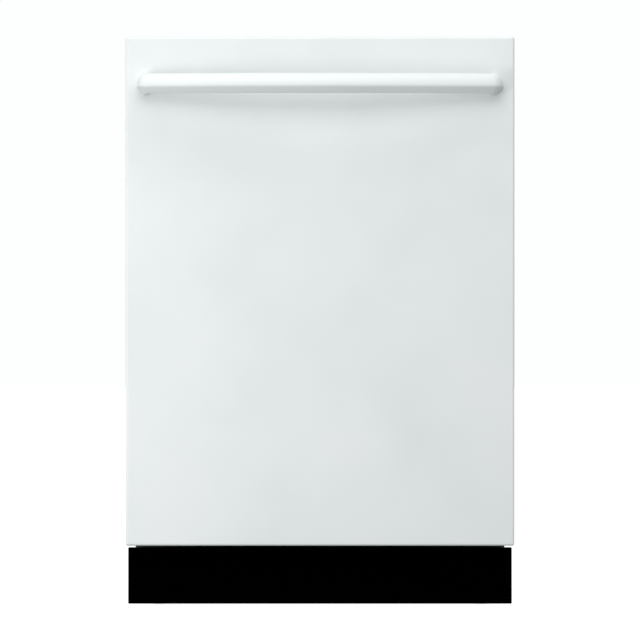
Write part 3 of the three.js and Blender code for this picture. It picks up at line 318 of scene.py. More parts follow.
def rounded(bm, edges, offset, segments, held=False):
    """Rounds edges, in millimetres, and returns the new faces; held keeps roundings from crossing."""
    return ops.bevel(bm, geom=edges, offset=offset * MM, segments=segments, profile=0.5, affect="EDGES",
                     material=-1, clamp_overlap=held)["faces"]


def block(bm, low, high, round_by=0.0, segments=2, index=0, turn=Matrix()):
    """A box between two corners in millimetres, its edges rounded, and turned."""
    low, high = Vector(low) * MM, Vector(high) * MM
    place = turn @ Matrix.Translation((low + high) / 2) @ Matrix.Diagonal((*(high - low), 1))
    verts = ops.create_cube(bm, size=1, matrix=place)["verts"]
    faces = unique(f for v in verts for f in v.link_faces)
    if round_by:
        edges = unique(e for v in verts for e in v.link_edges)
        faces = [f for f in unique([*faces, *rounded(bm, edges, round_by, segments, True)]) if f.is_valid]
    for face in faces:
        face.material_index = index


def bent(path, bend, closed=False, steps=3):
    """A path, or a profile of two numbers a row, with an arc at each of its corners."""
    points = [Vector(p) for p in path]
    inner = range(len(points)) if closed else range(1, len(points) - 1)
    reaches = iter(bend if isinstance(bend, list) else [bend] * len(points))
    out = [] if closed else [points[0]]
    for i in inner:
        before, spot, after = points[i - 1], points[i], points[(i + 1) % len(points)]
        reach = min(next(reaches), (before - spot).length * 0.49, (after - spot).length * 0.49)
        start = spot + (before - spot).normalized() * reach
        end = spot + (after - spot).normalized() * reach
        for k in range(steps + 1):
            t = k / steps
            out.append(start.lerp(spot, t).lerp(spot.lerp(end, t), t))
    return out if closed else out + [points[-1]]


def loop(bm, u, v, r, at, plane="xz", steps=5):
    """A rounded rectangle of vertices in one plane, in millimetres, from its lower right corner round.
    Where the rounding leaves no straight side, two arcs share their end."""
    spots = []
    for cu, cv, start in ((u[1] - r, v[0] + r, -90), (u[1] - r, v[1] - r, 0), (u[0] + r, v[1] - r, 90),
                          (u[0] + r, v[0] + r, 180)):
        for k in range(steps + 1):
            angle = radians(start + 90 * k / steps)
            a, b = cu + r * cos(angle), cv + r * sin(angle)
            spot = Vector({"xz": (a, at, b), "xy": (a, b, at), "yz": (at, a, b)}[plane])
            if all((spot - near).length > 0.001 for near in spots[-1:] + spots[:1]):
                spots.append(spot)
    return [bm.verts.new(spot * MM) for spot in spots]


def skin(bm, loops, index=0, caps=""):
    """Quads from each closed loop of vertices to the next, capped at the first (a) or last (z)."""
    for near, far in zip(loops, loops[1:]):
        for i in range(len(near)):
            bm.faces.new((near[i - 1], near[i], far[i], far[i - 1])).material_index = index
    for mark, end in (("a", loops[0]), ("z", loops[-1])):
        if mark in caps:
            bm.faces.new(end).material_index = index


def stack(bm, u, v, r, rows, bend=0, caps="", steps=5, plane="xz", index=0):
    """Rounded rectangles, each inset from the first and at its own level, with the corners between
    the levels bent, skinned and capped."""
    rows = bent(rows, bend) if bend else rows
    loops = [loop(bm, (u[0] + i, u[1] - i), (v[0] + i, v[1] - i), max(r - i, 0.3), at, plane, steps)
             for i, at in rows]
    skin(bm, loops, index, caps)
    return loops


def fill(bm, loops, index=0):
    """The flat area inside the first loop and outside the others; every loop is convex."""
    verts = [v for one in loops for v in one]
    spans = [max(v.co[k] for v in verts) - min(v.co[k] for v in verts) for k in range(3)]
    across = [k for k in range(3) if k != spans.index(min(spans))]
    spots = [Vector([v.co[k] / MM for k in across]) for v in verts]
    edges = []
    for one in loops:
        start = verts.index(one[0])
        edges += [(start + i, start + (i + 1) % len(one)) for i in range(len(one))]
    _, _, triangles, sources, *_ = delaunay_2d_cdt(spots, edges, [], 0, SAME / MM)
    for triangle in triangles:
        corners = [verts[sources[i][0]] for i in triangle]
        if not any(set(corners) <= set(hole) for hole in loops[1:]):
            bm.faces.new(corners).material_index = index
    outward(bm)


def thicken(bm, thickness, flip=False):
    """Gives an open sheet its thickness, on the side away from its faces or the other."""
    outward(bm)
    if flip:
        ops.reverse_faces(bm, faces=bm.faces[:])
    ops.solidify(bm, geom=bm.faces[:], thickness=thickness * MM)


def round_stack(bm, centre, radius, rows, bend=0, steps=9):
    """A stack of circles: each row is how far inside the radius it lies, and its level."""
    u, v = [(c - radius, c + radius) for c in centre]
    return stack(bm, u, v, radius, rows, bend, "", steps, "xy")


def trimmed(bm, level):
    """Cuts a mesh off below a level, in millimetres, and closes the cut."""
    cut_at(bm, (0, 0, level * MM), (0, 0, -1), drop=True)
    ops.holes_fill(bm, edges=[e for e in bm.edges if e.is_boundary])
    outward(bm)


def draw(bm, runs, index=0, round_by=2):
    """Adds round wires. Each run is a radius and a path in millimetres, and True if it closes."""
    line = bpy.data.curves.new("wire", "CURVE")
    line.dimensions = "3D"
    line.bevel_depth = MM
    line.bevel_resolution = round_by
    line.use_fill_caps = True
    for radius, path, *closed in runs:
        spline = line.splines.new("POLY")
        spline.points.add(len(path) - 1)
        for spot, point in zip(spline.points, path):
            spot.co = (*(Vector(point) * MM), 1)
            spot.radius = radius
        spline.use_cyclic_u = bool(closed)
    carrier = bpy.data.objects.new("wire", line)
    shape = bpy.data.meshes.new_from_object(carrier)
    for polygon in shape.polygons:
        polygon.material_index = index
    bm.from_mesh(shape)
    bpy.data.objects.remove(carrier)
    bpy.data.curves.remove(line)
    bpy.data.meshes.remove(shape)


def oval(bm, centre, across, a, up, b, power=0.8, points=28):
    """A squared-off ellipse of vertices round a centre, in millimetres."""
    verts = []
    for c, s in circle(points, 1):
        spot = Vector(centre) + Vector(across) * (copysign(abs(c) ** power, c) * a)
        verts.append(bm.verts.new((spot + Vector(up) * (copysign(abs(s) ** power, s) * b)) * MM))
    return verts


def refined(name, node, finishes, round_by=0.4, segments=2, more=None, crease=35):
    """The node's own solid with its sharp edges rounded, and whatever `more` adds to it."""
    bm = bmesh.new()
    bm.from_mesh(frame["nodes"][node].data)
    ops.remove_doubles(bm, verts=bm.verts[:], dist=0.02 * MM)
    ops.dissolve_limit(bm, angle_limit=radians(1), verts=bm.verts[:], edges=bm.edges[:])
    sharp = [e for e in bm.edges if len(e.link_faces) == 2 and e.calc_face_angle() > radians(crease)]
    rounded(bm, sharp, round_by, segments)
    if more:
        more(bm)
    make(name, bm, finishes, node, crease=crease)


def turned(bm, profile, foot, steps=32, axis="Z", index=0, side=1):
    """A profile of [radius, height] rows spun round an axis through `foot`, all in millimetres. With
    side -1 the heights run the other way."""
    before = set(bm.verts)
    verts = [bm.verts.new((r * MM, 0, side * h * MM)) for r, h in profile]
    edges = [bm.edges.new(pair) for pair in zip(verts, verts[1:])]
    ops.spin(bm, geom=verts + edges, cent=(0, 0, 0), axis=(0, 0, 1), angle=tau, steps=steps, use_merge=True)
    made = [v for v in bm.verts if v not in before]
    ops.remove_doubles(bm, verts=made, dist=0.01 * MM)
    made = [v for v in bm.verts if v not in before]
    faces = unique(f for v in made for f in v.link_faces)
    ops.recalc_face_normals(bm, faces=faces)
    for face in faces:
        face.material_index = index
    turn = {"X": Matrix.Rotation(radians(90), 4, "Y"), "Y": Matrix.Rotation(radians(-90), 4, "X"),
            "Z": Matrix()}[axis]
    ops.transform(bm, matrix=Matrix.Translation(Vector(foot) * MM) @ turn, verts=made)


def studs(profile, places, *how):
    """For `refined`: one turned shape at several places."""
    def addition(bm):
        for place in places:
            turned(bm, profile, place, *how)
    return addition


# ---- outer door panel
# One enamelled steel sheet, folded back on all four sides and hemmed inwards. Two slots in its lower
# fold pass the hinge plates, and the hem stops short above them.

PANEL_SHEET = 1.2
PANEL_EDGE = 3.2 * MM
PANEL_HEM = 9 * MM
HINGE_SLOTS = (288 * MM, 294.5 * MM)
HEM_STOP = 60 * MM


@finished("white baked enamel", "e9edec", 0.35, specular=0.4)
def white_enamel(it):
    """A level glossy coat with the faint ripple that spraying leaves."""
    ripple = it.noise(9 * MM, 1.0)
    cloud = it.noise(0.16)
    it.tint(cloud, "e6ebea", "eceff0", 0.3, 0.7)
    it.roughen(cloud, 0.3, 0.7, 0.32, 0.4)
    it.bump(ripple, 0.006)


@makes("outer_door_panel", white_enamel, "door_panel")
def door_panel(bm):
    block(bm, door_low / MM, door_high / MM, PANEL_EDGE / MM, 4)
    back = door_high.y
    cut_at(bm, (0, back - PANEL_EDGE, 0), (0, 1, 0), drop=True)
    walls = ops.extrude_edge_only(bm, edges=[e for e in bm.edges if e.is_boundary])["geom"]
    ops.translate(bm, verts=verts_in(walls), vec=(0, PANEL_EDGE, 0))
    hem = ops.extrude_edge_only(bm, edges=edges_in(walls))["geom"]
    centre = (door_low + door_high) / 2
    size = door_high - door_low
    for vert in verts_in(hem):
        for k in (0, 2):
            if abs(vert.co[k] - centre[k]) > size[k] / 2 - PANEL_HEM:
                vert.co[k] -= copysign(PANEL_HEM, vert.co[k] - centre[k])
    for side in (-1, 1):
        for edge in HINGE_SLOTS:
            cut_at(bm, (side * edge, 0, 0), (1, 0, 0))
    cut_at(bm, (0, door_low.y + PANEL_EDGE + MM, 0), (0, 1, 0))
    cut_at(bm, (0, 0, door_low.z + HEM_STOP), (0, 0, 1))
    unwanted = []
    for face in bm.faces:
        spot = face.calc_center_median()
        out, up = abs(spot.x), spot.z - door_low.z
        in_slot = out < HINGE_SLOTS[1] and up < PANEL_HEM + MM and spot.y > door_low.y + PANEL_EDGE
        low_hem = up < HEM_STOP and spot.y > back - 0.01 * MM
        if out > HINGE_SLOTS[0] and (in_slot or low_hem):
            unwanted.append(face)
    ops.delete(bm, geom=unwanted, context="FACES")
    thicken(bm, PANEL_SHEET)


# ---- handle
# A bar of drawn section, bowed away from the door. Its ends turn back in one tight bend and flare a
# little where they are screwed on from inside.

BAR_LOW, BAR_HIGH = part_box("handle_bar")
BAR_HALF = 264.5 * MM
BAR_BOW = 24 * MM
BAR_DEEP = 18 * MM
BAR_BEND = 8.5 * MM
BAR_STRAIGHT_END = door_low.y - 25 * MM - BAR_DEEP / 2  # front of the bar where the bends begin


@makes("bar_handle", white_enamel, "handle_bar", "handle_post_left", "handle_post_right", crease=50)
def handle(bm):
    tall = (BAR_HIGH.z - BAR_LOW.z) / 2
    height = (BAR_HIGH.z + BAR_LOW.z) / 2
    radius = (BAR_HALF ** 2 + BAR_BOW ** 2) / (2 * BAR_BOW)
    half_angle = asin(BAR_HALF / radius)
    front = BAR_STRAIGHT_END - BAR_BOW
    # the section, as shares: a full upper front, a sharp turn under and a flat back
    arc = [radians(90 - 10 * k) for k in range(9)]
    section = [(0.33 + 0.67 * cos(turn), -0.18 + 1.18 * sin(turn)) for turn in arc]
    section += [(1.0, -0.18), (0.985, -0.3), (0.93, -0.42), (0.5, -0.93), (0.38, -1.0), (0.2, -1.0),
                (0.06, -0.96), (0.0, -0.85), (0.0, 0.85), (0.06, 0.96), (0.2, 1.0)]
    verts = [bm.verts.new((0, front + BAR_DEEP * (1 - deep), height + tall * up)) for deep, up in section]
    edges = [bm.edges.new((verts[i - 1], verts[i])) for i in range(len(verts))]
    centre = (0, front + BAR_DEEP / 2 + radius, height)
    ops.rotate(bm, verts=verts, cent=centre, matrix=Matrix.Rotation(-half_angle, 3, "Z"))
    bow = ops.spin(bm, geom=edges, cent=centre, axis=(0, 0, 1), angle=2 * half_angle, steps=44)
    for side, start in ((1, edges_in(bow["geom_last"])), (-1, edges)):
        inward = Vector((-side * sin(half_angle), cos(half_angle), 0))
        pivot = Vector(centre) - inward * (radius - BAR_BEND)
        turn = radians(90) - half_angle
        bend = ops.spin(bm, geom=start, cent=pivot, axis=(0, 0, side), angle=turn, steps=10)
        last = edges_in(bend["geom_last"])
        for flare, share in ((1.02, 0.5), (1.1, 1.0)):
            grown = ops.extrude_edge_only(bm, edges=last)["geom"]
            last, ends = edges_in(grown), verts_in(grown)
            spot = sum((v.co for v in ends), Vector()) / len(ends)
            reach = (door_low.y - 0.05 * MM - spot.y) * share
            for vert in ends:
                vert.co = (spot.x + (vert.co.x - spot.x) * flare, vert.co.y + reach,
                           height + (vert.co.z - height) * flare)
        ops.edgeloop_fill(bm, edges=last)


# ---- toe kick
# A channel of sheet steel, folded top and bottom.

kick_low, kick_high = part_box("toe_kick")


@finished("matte black paint", "010101", 0.75, specular=0.0)
def matte_black(it):
    """Almost no sheen, a fine even grain."""
    it.bump(it.noise(0.9 * MM, 3.0), 0.03)


@makes("toe_kick_plate", matte_black, "toe_kick")
def toe_kick(bm):
    block(bm, kick_low / MM, kick_high / MM, 1.6, 3)
    cut_at(bm, (0, kick_high.y - 2 * MM, 0), (0, 1, 0), drop=True)
    ops.delete(bm, geom=[f for f in bm.faces if abs(f.normal.x) > 0.9], context="FACES")
    ops.solidify(bm, geom=bm.faces[:], thickness=1.6 * MM)


# ---- inner door
# A pressing: a flat rim for the gasket and a raised middle with two long beads and a window for the
# dispenser. A bitumen mat behind it keeps the door quiet.

@finished("baked bitumen", "1d1b19", 0.9)
def bitumen(it):
    """Near black and dull, with the crumbled skin that baking gives it."""
    crumb = it.cells(4 * MM)
    it.tint(crumb, "141312", "2a2725")
    it.bump(crumb, 0.4)


inner_steel = rolled_steel("inner door steel", (0.5 * MM, 0.5 * MM, 0.12), 0.28)
RIM, RAISED = -232, -210  # faces of the liner's rim and of its raised middle


@makes("inner_door", inner_steel, "door_liner")
def inner_door(bm):
    rim = stack(bm, (-285, 285), (108, 846), 6, [(0, -249.7), (0, RIM), (8, RIM)], 2.5)
    middle = [(-4, RIM), (0, RIM), (0, RAISED), (14, RAISED)]
    raised = stack(bm, (-266, 266), (150, 824), 26, middle, [3, 7], "", 8)
    fill(bm, [rim[-1], raised[0]])
    window = stack(bm, (-93, 93), (487, 583), 4, [(0, RAISED), (0, RAISED - 5)])
    holes = [window[0]]
    bead = [(-1, RAISED), (1, RAISED), (4, RAISED + 1.6), (12, RAISED + 1.6)]
    for x in (-178, 178):
        holes.append(stack(bm, (x - 44, x + 44), (250, 730), 20, bead, 1.6, "z")[0])
    fill(bm, [raised[-1], *holes])
    thicken(bm, 1.2)


for place in frame["nodes"]["door_sound_mat"].material_slots:
    place.material = bitumen


# ---- control strip, keys and latch
# A moulding along the door's top edge, hidden under the worktop while the door is shut, with five
# keys and a window for the display. The latch is let into its middle.

@finished("smoked acrylic", "0b0c0e", 0.08)
def smoked(it):
    """Black and polished, with a trace of dust."""
    it.roughen(it.noise(12 * MM, 4.0), 0.4, 0.8, 0.06, 0.22)


@finished("amber lens", "d98a2b", 0.25)
def amber(it):
    """The lens over each small lamp, lit while the machine is on."""
    it.shader.inputs["Emission Color"].default_value = linear("ff9a2e")
    it.shader.inputs["Emission Strength"].default_value = 0.8


white_abs = plastic("satin white ABS", "e3e6e4", "eef0ee", 0.38)
grey_key = plastic("pale grey key plastic", "a9aeb2", "b6bbbf", 0.34)
dark_plastic = plastic("dark grey glass-filled plastic", "43484d", "51565b", 0.5, grain=0.5, depth=0.02)
grey_plastic = plastic("mid-grey polypropylene", "848b92", "939aa1", 0.42)
KEYS = {"power_button": -236, "cycle_button_1": -150, "cycle_button_2": -122, "cycle_button_3": -94,
        "start_button": 236}
STRIP = 874.8  # top of the control strip


def strip_extras(bm):
    window = [(0, STRIP - 0.6), (0, STRIP), (3, STRIP)]
    stack(bm, (8.2, 195.8), (-244.8, -231.2), 3, window, 0.4, "z", 5, "xy", 1)
    for x in range(-150, -80, 14):
        turned(bm, [(0, 0.9), (1.1, 0.8), (1.5, 0)], (x, -229.2, STRIP), 12, "Z", 2)
    for x in (-277, -196, 204, 277):
        turned(bm, [(0, 0.3), (1.4, 0.3), (1.6, 0.9), (3.0, 0.6), (3.4, 0)], (x, -239, STRIP), 20, "Z", 3)


spring_steel = rolled_steel("bright spring steel", (0.3 * MM, 3 * MM, 3 * MM), 0.3)
refined("control_moulding", "control_strip", [white_abs, smoked, amber, spring_steel], 0.25, 3, strip_extras)


def key(node, x):
    bm = bmesh.new()
    top = STRIP + 0.9
    rows = [(0, top - 8), (0, top), (1.8, top), (2.6, top - 0.35), (4.4, top - 0.35)]
    stack(bm, (x - 9, x + 9), (-243, -233), 4.6, rows, [0.8, 0.4, 0.4], "az", 5, "xy")
    if node in ("power_button", "start_button"):
        turned(bm, [(0, 0.28), (0.9, 0.2), (1.2, 0)], (x, -238, top - 0.37), 16, "Z", 1)
    make(node.replace("button", "key"), bm, [grey_key, amber], node)


for node, x in KEYS.items():
    key(node, x)
refined("latch_housing", "latch_case", dark_plastic)
refined("sprung_pawl", "latch_pawl", spring_steel, 0.3)


# ---- dispenser
# A detergent cup with dosing ribs under a sliding lid, a sight glass, and the rinse-aid tank's filler
# with its bayonet cap.

PLATE = -206.7  # face of the dispenser's plate


@makes("dispenser_moulding", [dark_plastic, smoked], "dispenser_body")
def dispenser(bm):
    plate = stack(bm, (-100, 100), (480, 590), 10, [(0, PLATE - 3), (0, PLATE), (6, PLATE)], 1.8)
    well = [(-1.6, PLATE), (0, PLATE), (2.5, -236), (14, -236)]
    cup = stack(bm, (-86, -18), (497, 573), 12, well, [0.9, 5], "z")
    filler = stack(bm, (72, 92), (525, 545), 10, [(-1, PLATE), (0, PLATE), (0, -222), (4, -222)], 0.8, "z", 6)
    glass = [(0, PLATE), (0.8, PLATE - 1), (2, PLATE - 1)]
    sight = stack(bm, (44, 56), (529, 541), 6, glass, 0.6, "z", index=1)
    fill(bm, [plate[-1], cup[0], filler[0], sight[0]])
    stack(bm, (-92, 92), (488, 582), 5, [(0, PLATE - 3), (0, -242), (10, -242)], 3, "z")
    for k, level in enumerate((512, 524, 536)):
        block(bm, (-84, -237, level), (-76 + 4 * k, -234.6, level + 1.6), 0.5)
    for x in (10, 22):
        block(bm, (x, PLATE - 1, 500), (x + 1.6, PLATE + 0.2, 570), 0.5)


@makes("sliding_lid", grey_plastic, "dispenser_lid")
def lid(bm):
    low, high = PLATE + 0.3, PLATE + 3.3
    rows = [(0, low), (0, high), (5, high), (6.5, high - 0.8), (16, high - 0.8)]
    stack(bm, (-93, -11), (490, 580), 10, rows, [1.3, 0.8, 0.8], "az", 6)
    stack(bm, (-27, -19), (512, 558), 3.5, [(0, high - 1), (0, high + 3), (3, high + 3)], 1.5, "z")
    for z in range(518, 554, 5):
        block(bm, (-25, high + 2.4, z), (-21, high + 3.35, z + 1.8), 0.4)


@makes("rinse_cap_moulding", grey_plastic, "rinse_aid_cap")
def filler_cap(bm):
    low = PLATE + 0.3
    profile = [(0, -9), (9.5, -9), (9.5, 0), (13.4, 0), (13.4, 2.6), (11.5, 3), (10.4, 2.2), (0, 2.2)]
    turned(bm, bent(profile, 0.6), (82, low, 535), 32, "Y")
    stack(bm, (79.5, 84.5), (524.5, 545.5), 2.4, [(0, low + 2), (0, low + 8), (2, low + 8)], 1.2, "z")


# ---- hinge arms
# Straps riveted up the liner's sides, each with a quadrant that the spring's cord lies on.

@finished("hot-dip galvanised steel", "9ca2a6", 0.42, metal=0.9)
def galvanised(it):
    """Flat grey with the broad spangle of zinc crystals."""
    spangle = it.cells(7 * MM)
    grey = add(it.tree, "ShaderNodeSeparateColor", {}, {0: (spangle, "Color")})
    it.tint(grey, "868d91", "b3b9bd")
    it.roughen(grey, 0, 1, 0.32, 0.52, 1)
    it.bump(spangle, 0.01)


for side, hand in HANDS:
    spots = [(side * 288.4, -243, z) for z in (180, 240, 300)]
    rivets = studs([(3.2, -1.2), (3.2, -0.4), (2.2, 0.6), (0, 0.6)], spots, 16, "X", 0, side)
    refined(f"hinge_strap_{hand}", f"hinge_arm_{hand}", galvanised, more=rivets)


# ---- tub
# A flange round the mouth, soft corners, a floor that drops into a round basin over the sump, and
# stiffening beads in the sides and back.

tub_steel = rolled_steel("bright rolled tub steel", (0.6 * MM, 70 * MM, 0.6 * MM), 0.26)
TUB_U, TUB_V = (-270.4, 270.4), (146, 830.4)
WALL = 320.4  # inside of the tub's back
BASIN = (48, 15)  # middle of the floor's basin
CUP = (85, -5)  # axis of the filter cup
ARMS = (0, 40)  # axis of both spray arms


@makes("wash_tub", tub_steel, "tub")
def tub(bm):
    flange = stack(bm, (-285, 285), (133, 868), 5, [(0, -220.6), (0, -222), (0.6, -222)], steps=7)
    shell = stack(bm, TUB_U, TUB_V, 23, [(-3, -222), (0, -222), (0, WALL), (16, WALL)], [2.5, 12], "", 7)
    fill(bm, [flange[-1], shell[0]])
    holes = []
    rows = [(-2, WALL), (1, WALL), (4, WALL - 2.6), (8, WALL - 2.6)]
    for x in (-150, 150):
        holes.append(stack(bm, (x - 13, x + 13), (260, 760), 12.9, rows, 2, "z", 7)[0])
    fill(bm, [shell[-1], *holes])
    low_faces = [f for f in bm.faces if f.calc_center_median().z < 146.1 * MM]
    ground = max(low_faces, key=lambda f: f.calc_area())
    corners = list(ground.verts)
    bm.faces.remove(ground)
    basin = round_stack(bm, BASIN, 124, [(-3, 146), (1, 146), (4, 132), (24, 132)], [3, 5], 14)
    fill(bm, [corners, basin[0]])
    thicken(bm, 1.6, flip=True)
    for z in (350, 460, 740):
        for side in (-1, 1):
            rows = [(0, side * 270.5), (1.5, side * 270.3), (4, side * 267.9), (8, side * 267.9)]
            stack(bm, (-150, 270), (z - 11, z + 11), 10.9, rows, 2, "z", 7, "yz")


refined("wheel_runners", "wheel_track", inner_steel)


# ---- door gasket and felt
# An extrusion with a hollow bulb, pressed on the flange, and a felt blanket round the tub, held by
# aluminium tape and plastic pins.

@finished("black EPDM rubber", "222325", 0.78, specular=0.3)
def rubber(it):
    """Dull, with a slight bloom and talc left from its making."""
    bloom = it.noise(18 * MM, 4.0)
    it.tint(bloom, "1d1e20", "34363a", 0.35, 0.75)
    it.bump(bloom, 0.05)


@finished("needled grey felt", "505256", 0.95, specular=0.05)
def felt(it):
    """Matte, flecked with lighter and darker strands."""
    fibre = it.noise(5 * MM, 6.0, 1.5)
    fleck = it.cells(3 * MM)
    it.tint(it.combined("MULTIPLY", fibre, fleck), "37393c", "75787c", 0.05, 0.5)
    it.bump(fibre, 0.9)


tape = rolled_steel("aluminium tape", (3 * MM, 3 * MM, 3 * MM), 0.34)


@makes("bulb_gasket", rubber, "door_gasket", crease=50)
def door_gasket(bm):
    profile = [(0.4, -222.3), (12, -222.3), (12, -225.4), (9.6, -226), (10, -228.6), (8.6, -230.8),
               (6.2, -231.6), (3.8, -230.8), (2.4, -228.6), (2.8, -226), (0.4, -225.4)]
    loops = stack(bm, (-283.5, 283.5), (90, 844), 30, bent(profile, 0.7, closed=True, steps=1), steps=8)
    skin(bm, [loops[-1], loops[0]])
    trimmed(bm, 150)


@makes("felt_blanket", felt, "sound_blanket", crease=60)
def felt_blanket(bm):
    rows = [(7.2, 322.8), (7.2, -170), (0, -170), (0, 329.9)]
    stack(bm, (-280, 280), (100, 839.8), 14, rows, 3, "az", 4)
    trimmed(bm, 200)
    for _ in range(2):
        long_edges = [e for e in bm.edges if e.calc_length() > 0.05]
        ops.subdivide_edges(bm, edges=long_edges, cuts=5, use_grid_fill=True)
    ops.triangulate(bm, faces=[f for f in bm.faces if len(f.verts) > 4])
    chance = random.Random(7)
    bm.normal_update()
    for vert in bm.verts:
        vert.co -= vert.normal * chance.uniform(0, 0.5) * MM


@makes("blanket_tape_and_pins", [tape, white_abs], "sound_blanket", beside=True)
def blanket_fixings(bm):
    block(bm, (-279, 60, 839.6), (279, 108, 840.4), 0.2, 1)
    for side in (-1, 1):
        block(bm, (side * 280.4 - 0.35, 60, 210), (side * 280.4 + 0.35, 108, 838), 0.2, 1)
        for y in (-120, 240):
            for z in (280, 500, 720):
                turned(bm, [(0, -1.5), (7, -1), (8, 0), (6, 1.2), (0, 1.8)], (side * 280.6, y, z), 20, "X", 1)


# ---- side frames, springs and brackets
# The angles carry the hinge pins. Each door spring is a close coil with hooked ends, and its cord
# runs forward to the hinge arm.

braid = plastic("braided nylon cord", "2c2e31", "3b3e42", 0.7, grain=0.9, depth=0.2)


def door_spring(side, hand):
    bm = bmesh.new()
    x, z = side * 286.8, 153.7
    turns = 46
    coil = [(x + out, -88 + 156 * k / (turns * 10), z + up)
            for k, (out, up) in enumerate((circle(10, 4.7) * (turns + 1))[:turns * 10 + 1])]
    hooks = [[(x + 4.7, -88, z), (x, -92, z), (x, -99, z)], [(x + 4.7, 68, z), (x, 74, z), (x, 88.6, z)]]
    draw(bm, [(1.15, coil)] + [(1.15, bent(h, 4)) for h in hooks], round_by=1)
    draw(bm, [(1.35, [(x, -250, z), (x, -99, z)])], index=1)
    turned(bm, [(1.4, 0), (2.6, 0.6), (2.6, 7), (1.4, 8)], (x, -102, z), 12, "Y")
    make(f"door_spring_{hand}", bm, [spring_steel, braid], f"counter_spring_{hand}", crease=70)


for side, hand in HANDS:
    spots = [(side * 291, -219.9, z) for z in (220, 420, 620, 820)]
    screws = studs([(0, -0.4), (1.8, -0.4), (2.2, -1.5), (3.8, -1.1), (4.2, 0.2)], spots, 18, "Y")
    refined(f"side_angle_{hand}", f"side_frame_{hand}", galvanised, 0.35, more=screws)
    door_spring(side, hand)
    refined(f"worktop_tab_{hand}", f"worktop_bracket_{hand}", galvanised)
refined("latch_striker", "striker", spring_steel)


# ---- base tray and feet
# A tray that catches drips, on four screw feet with a ribbed pad and a hexagon.

black_pp = plastic("black talc-filled polypropylene", "17181a", "232528", 0.62, grain=0.8, depth=0.03)
refined("base_moulding", "base_tray", black_pp)


def levelling_foot(node, x, y):
    bm = bmesh.new()
    thread = [(0, 16)]
    for k in range(24):
        thread += [(6, 17 + 1.75 * k), (5.1, 17.9 + 1.75 * k)]
    thread += [(5.1, 60), (0, 60)]
    turned(bm, thread, (x, y, 0), 20, "Z", 1)
    turned(bm, bent([(0, 8), (10, 8), (10, 17), (0, 17)], 0.8), (x, y, 0), 6)
    turned(bm, bent([(0, 0), (18, 0), (20, 2), (20, 6), (11, 9), (0, 9)], 0.8), (x, y, 0), 40)
    ribs(bm, 12, (x, y, 0), (10.5, -0.8, 5), (18.8, 0.8, 7.6), 0.3)
    make(f"levelling_{node}", bm, [dark_plastic, spring_steel], node, crease=28)


for end, y in (("front", -156), ("rear", 278)):
    for side, hand in HANDS:
        levelling_foot(f"foot_{end}_{hand}", side * 250, y)


# ---- sump and filters
# A bowl under the basin with the pipe that feeds the lower arm. Over it lie a perforated plate and a
# lift-out cup with a bow handle.

@finished("perforated filter steel", "b9bdbf", 0.34, metal=0.9)
def perforated(it):
    """Punched all over with fine holes: dots of painted shade for their dark insides, and dips in the bump.
    """
    holes = it.cells(2.6 * MM, 0.0)
    # painted shade: each hole is a dark dot in the colour, not an opening
    it.tint(holes, "202224", "c2c6c8", 0.3, 0.36)
    it.bump(it.spread(holes, 0.25, 0.4, 0, 1), 0.3)


@makes("sump_bowl", dark_plastic, "sump")
def sump(bm):
    bowl = [(0, 68), (94, 68), (99, 73), (99, 126), (110, 126), (110, 129), (93, 129), (93, 74), (0, 74)]
    turned(bm, bent(bowl, 2), (*BASIN, 0), 64)
    turned(bm, bent([(13.5, 74), (13.5, 181), (10.6, 181), (10.6, 76)], 0.8), (*ARMS, 0))
    ribs(bm, 16, (*BASIN, 0), (98, -1.1, 78), (104, 1.1, 126.5), 0.6, 0.5)


@makes("fine_filter_plate", [perforated, grey_plastic], "fine_filter")
def fine_filter(bm):
    outer = round_stack(bm, BASIN, 121, [(0, 132.6), (0.4, 133.8), (1.2, 134.2), (4, 133.4)], steps=16)
    pipe = round_stack(bm, ARMS, 14.6, [(0, 133.4)], steps=6)
    cup = round_stack(bm, CUP, 44, [(0, 133.4)])
    fill(bm, [outer[-1], pipe[0], cup[0]])
    rim = bent([(37.2, 132.6), (44, 132.6), (44, 136), (37.2, 136), (37.2, 132.6)], 0.6)
    turned(bm, rim, (*CUP, 0), 44, "Z", 1)


@makes("coarse_filter_cup", [grey_plastic, perforated], "filter_cup", crease=50)
def filter_cup(bm):
    top = 136.3
    for profile in (bent([(33, 0), (42, 0), (42, 3), (33, 3), (33, 0)], 0.8),
                    bent([(0, -46), (36, -46), (36, -41), (34.4, -41), (34.4, -43.4), (0, -43.4)], 0.6),
                    [(36, -23), (36, -20), (34.6, -20), (34.6, -23), (36, -23)]):
        turned(bm, profile, (*CUP, top), 44)
    turned(bm, [(33.8, -44), (33.8, 1)], (*CUP, top), 44, "Z", 1)
    bars = [[(CUP[0] + x, CUP[1] + y, top + z) for z in (-43, 0.4)] for x, y in circle(20, 35)]
    draw(bm, [(1.1, bar) for bar in bars], round_by=0)
    bow = [(51, -5, top + 1), (51, -5, top + 9.4), (119, -5, top + 9.4), (119, -5, top + 1)]
    draw(bm, [(2.6, bent(bow, 8))])


# ---- pumps, valve and junction box
# The circulation pump lies across the base, with a finned motor and a moulded volute.

PUMP = (-214, 70, 92)  # back end of the motor's axis
DRAIN = (196, -110)  # axis of the drain pump


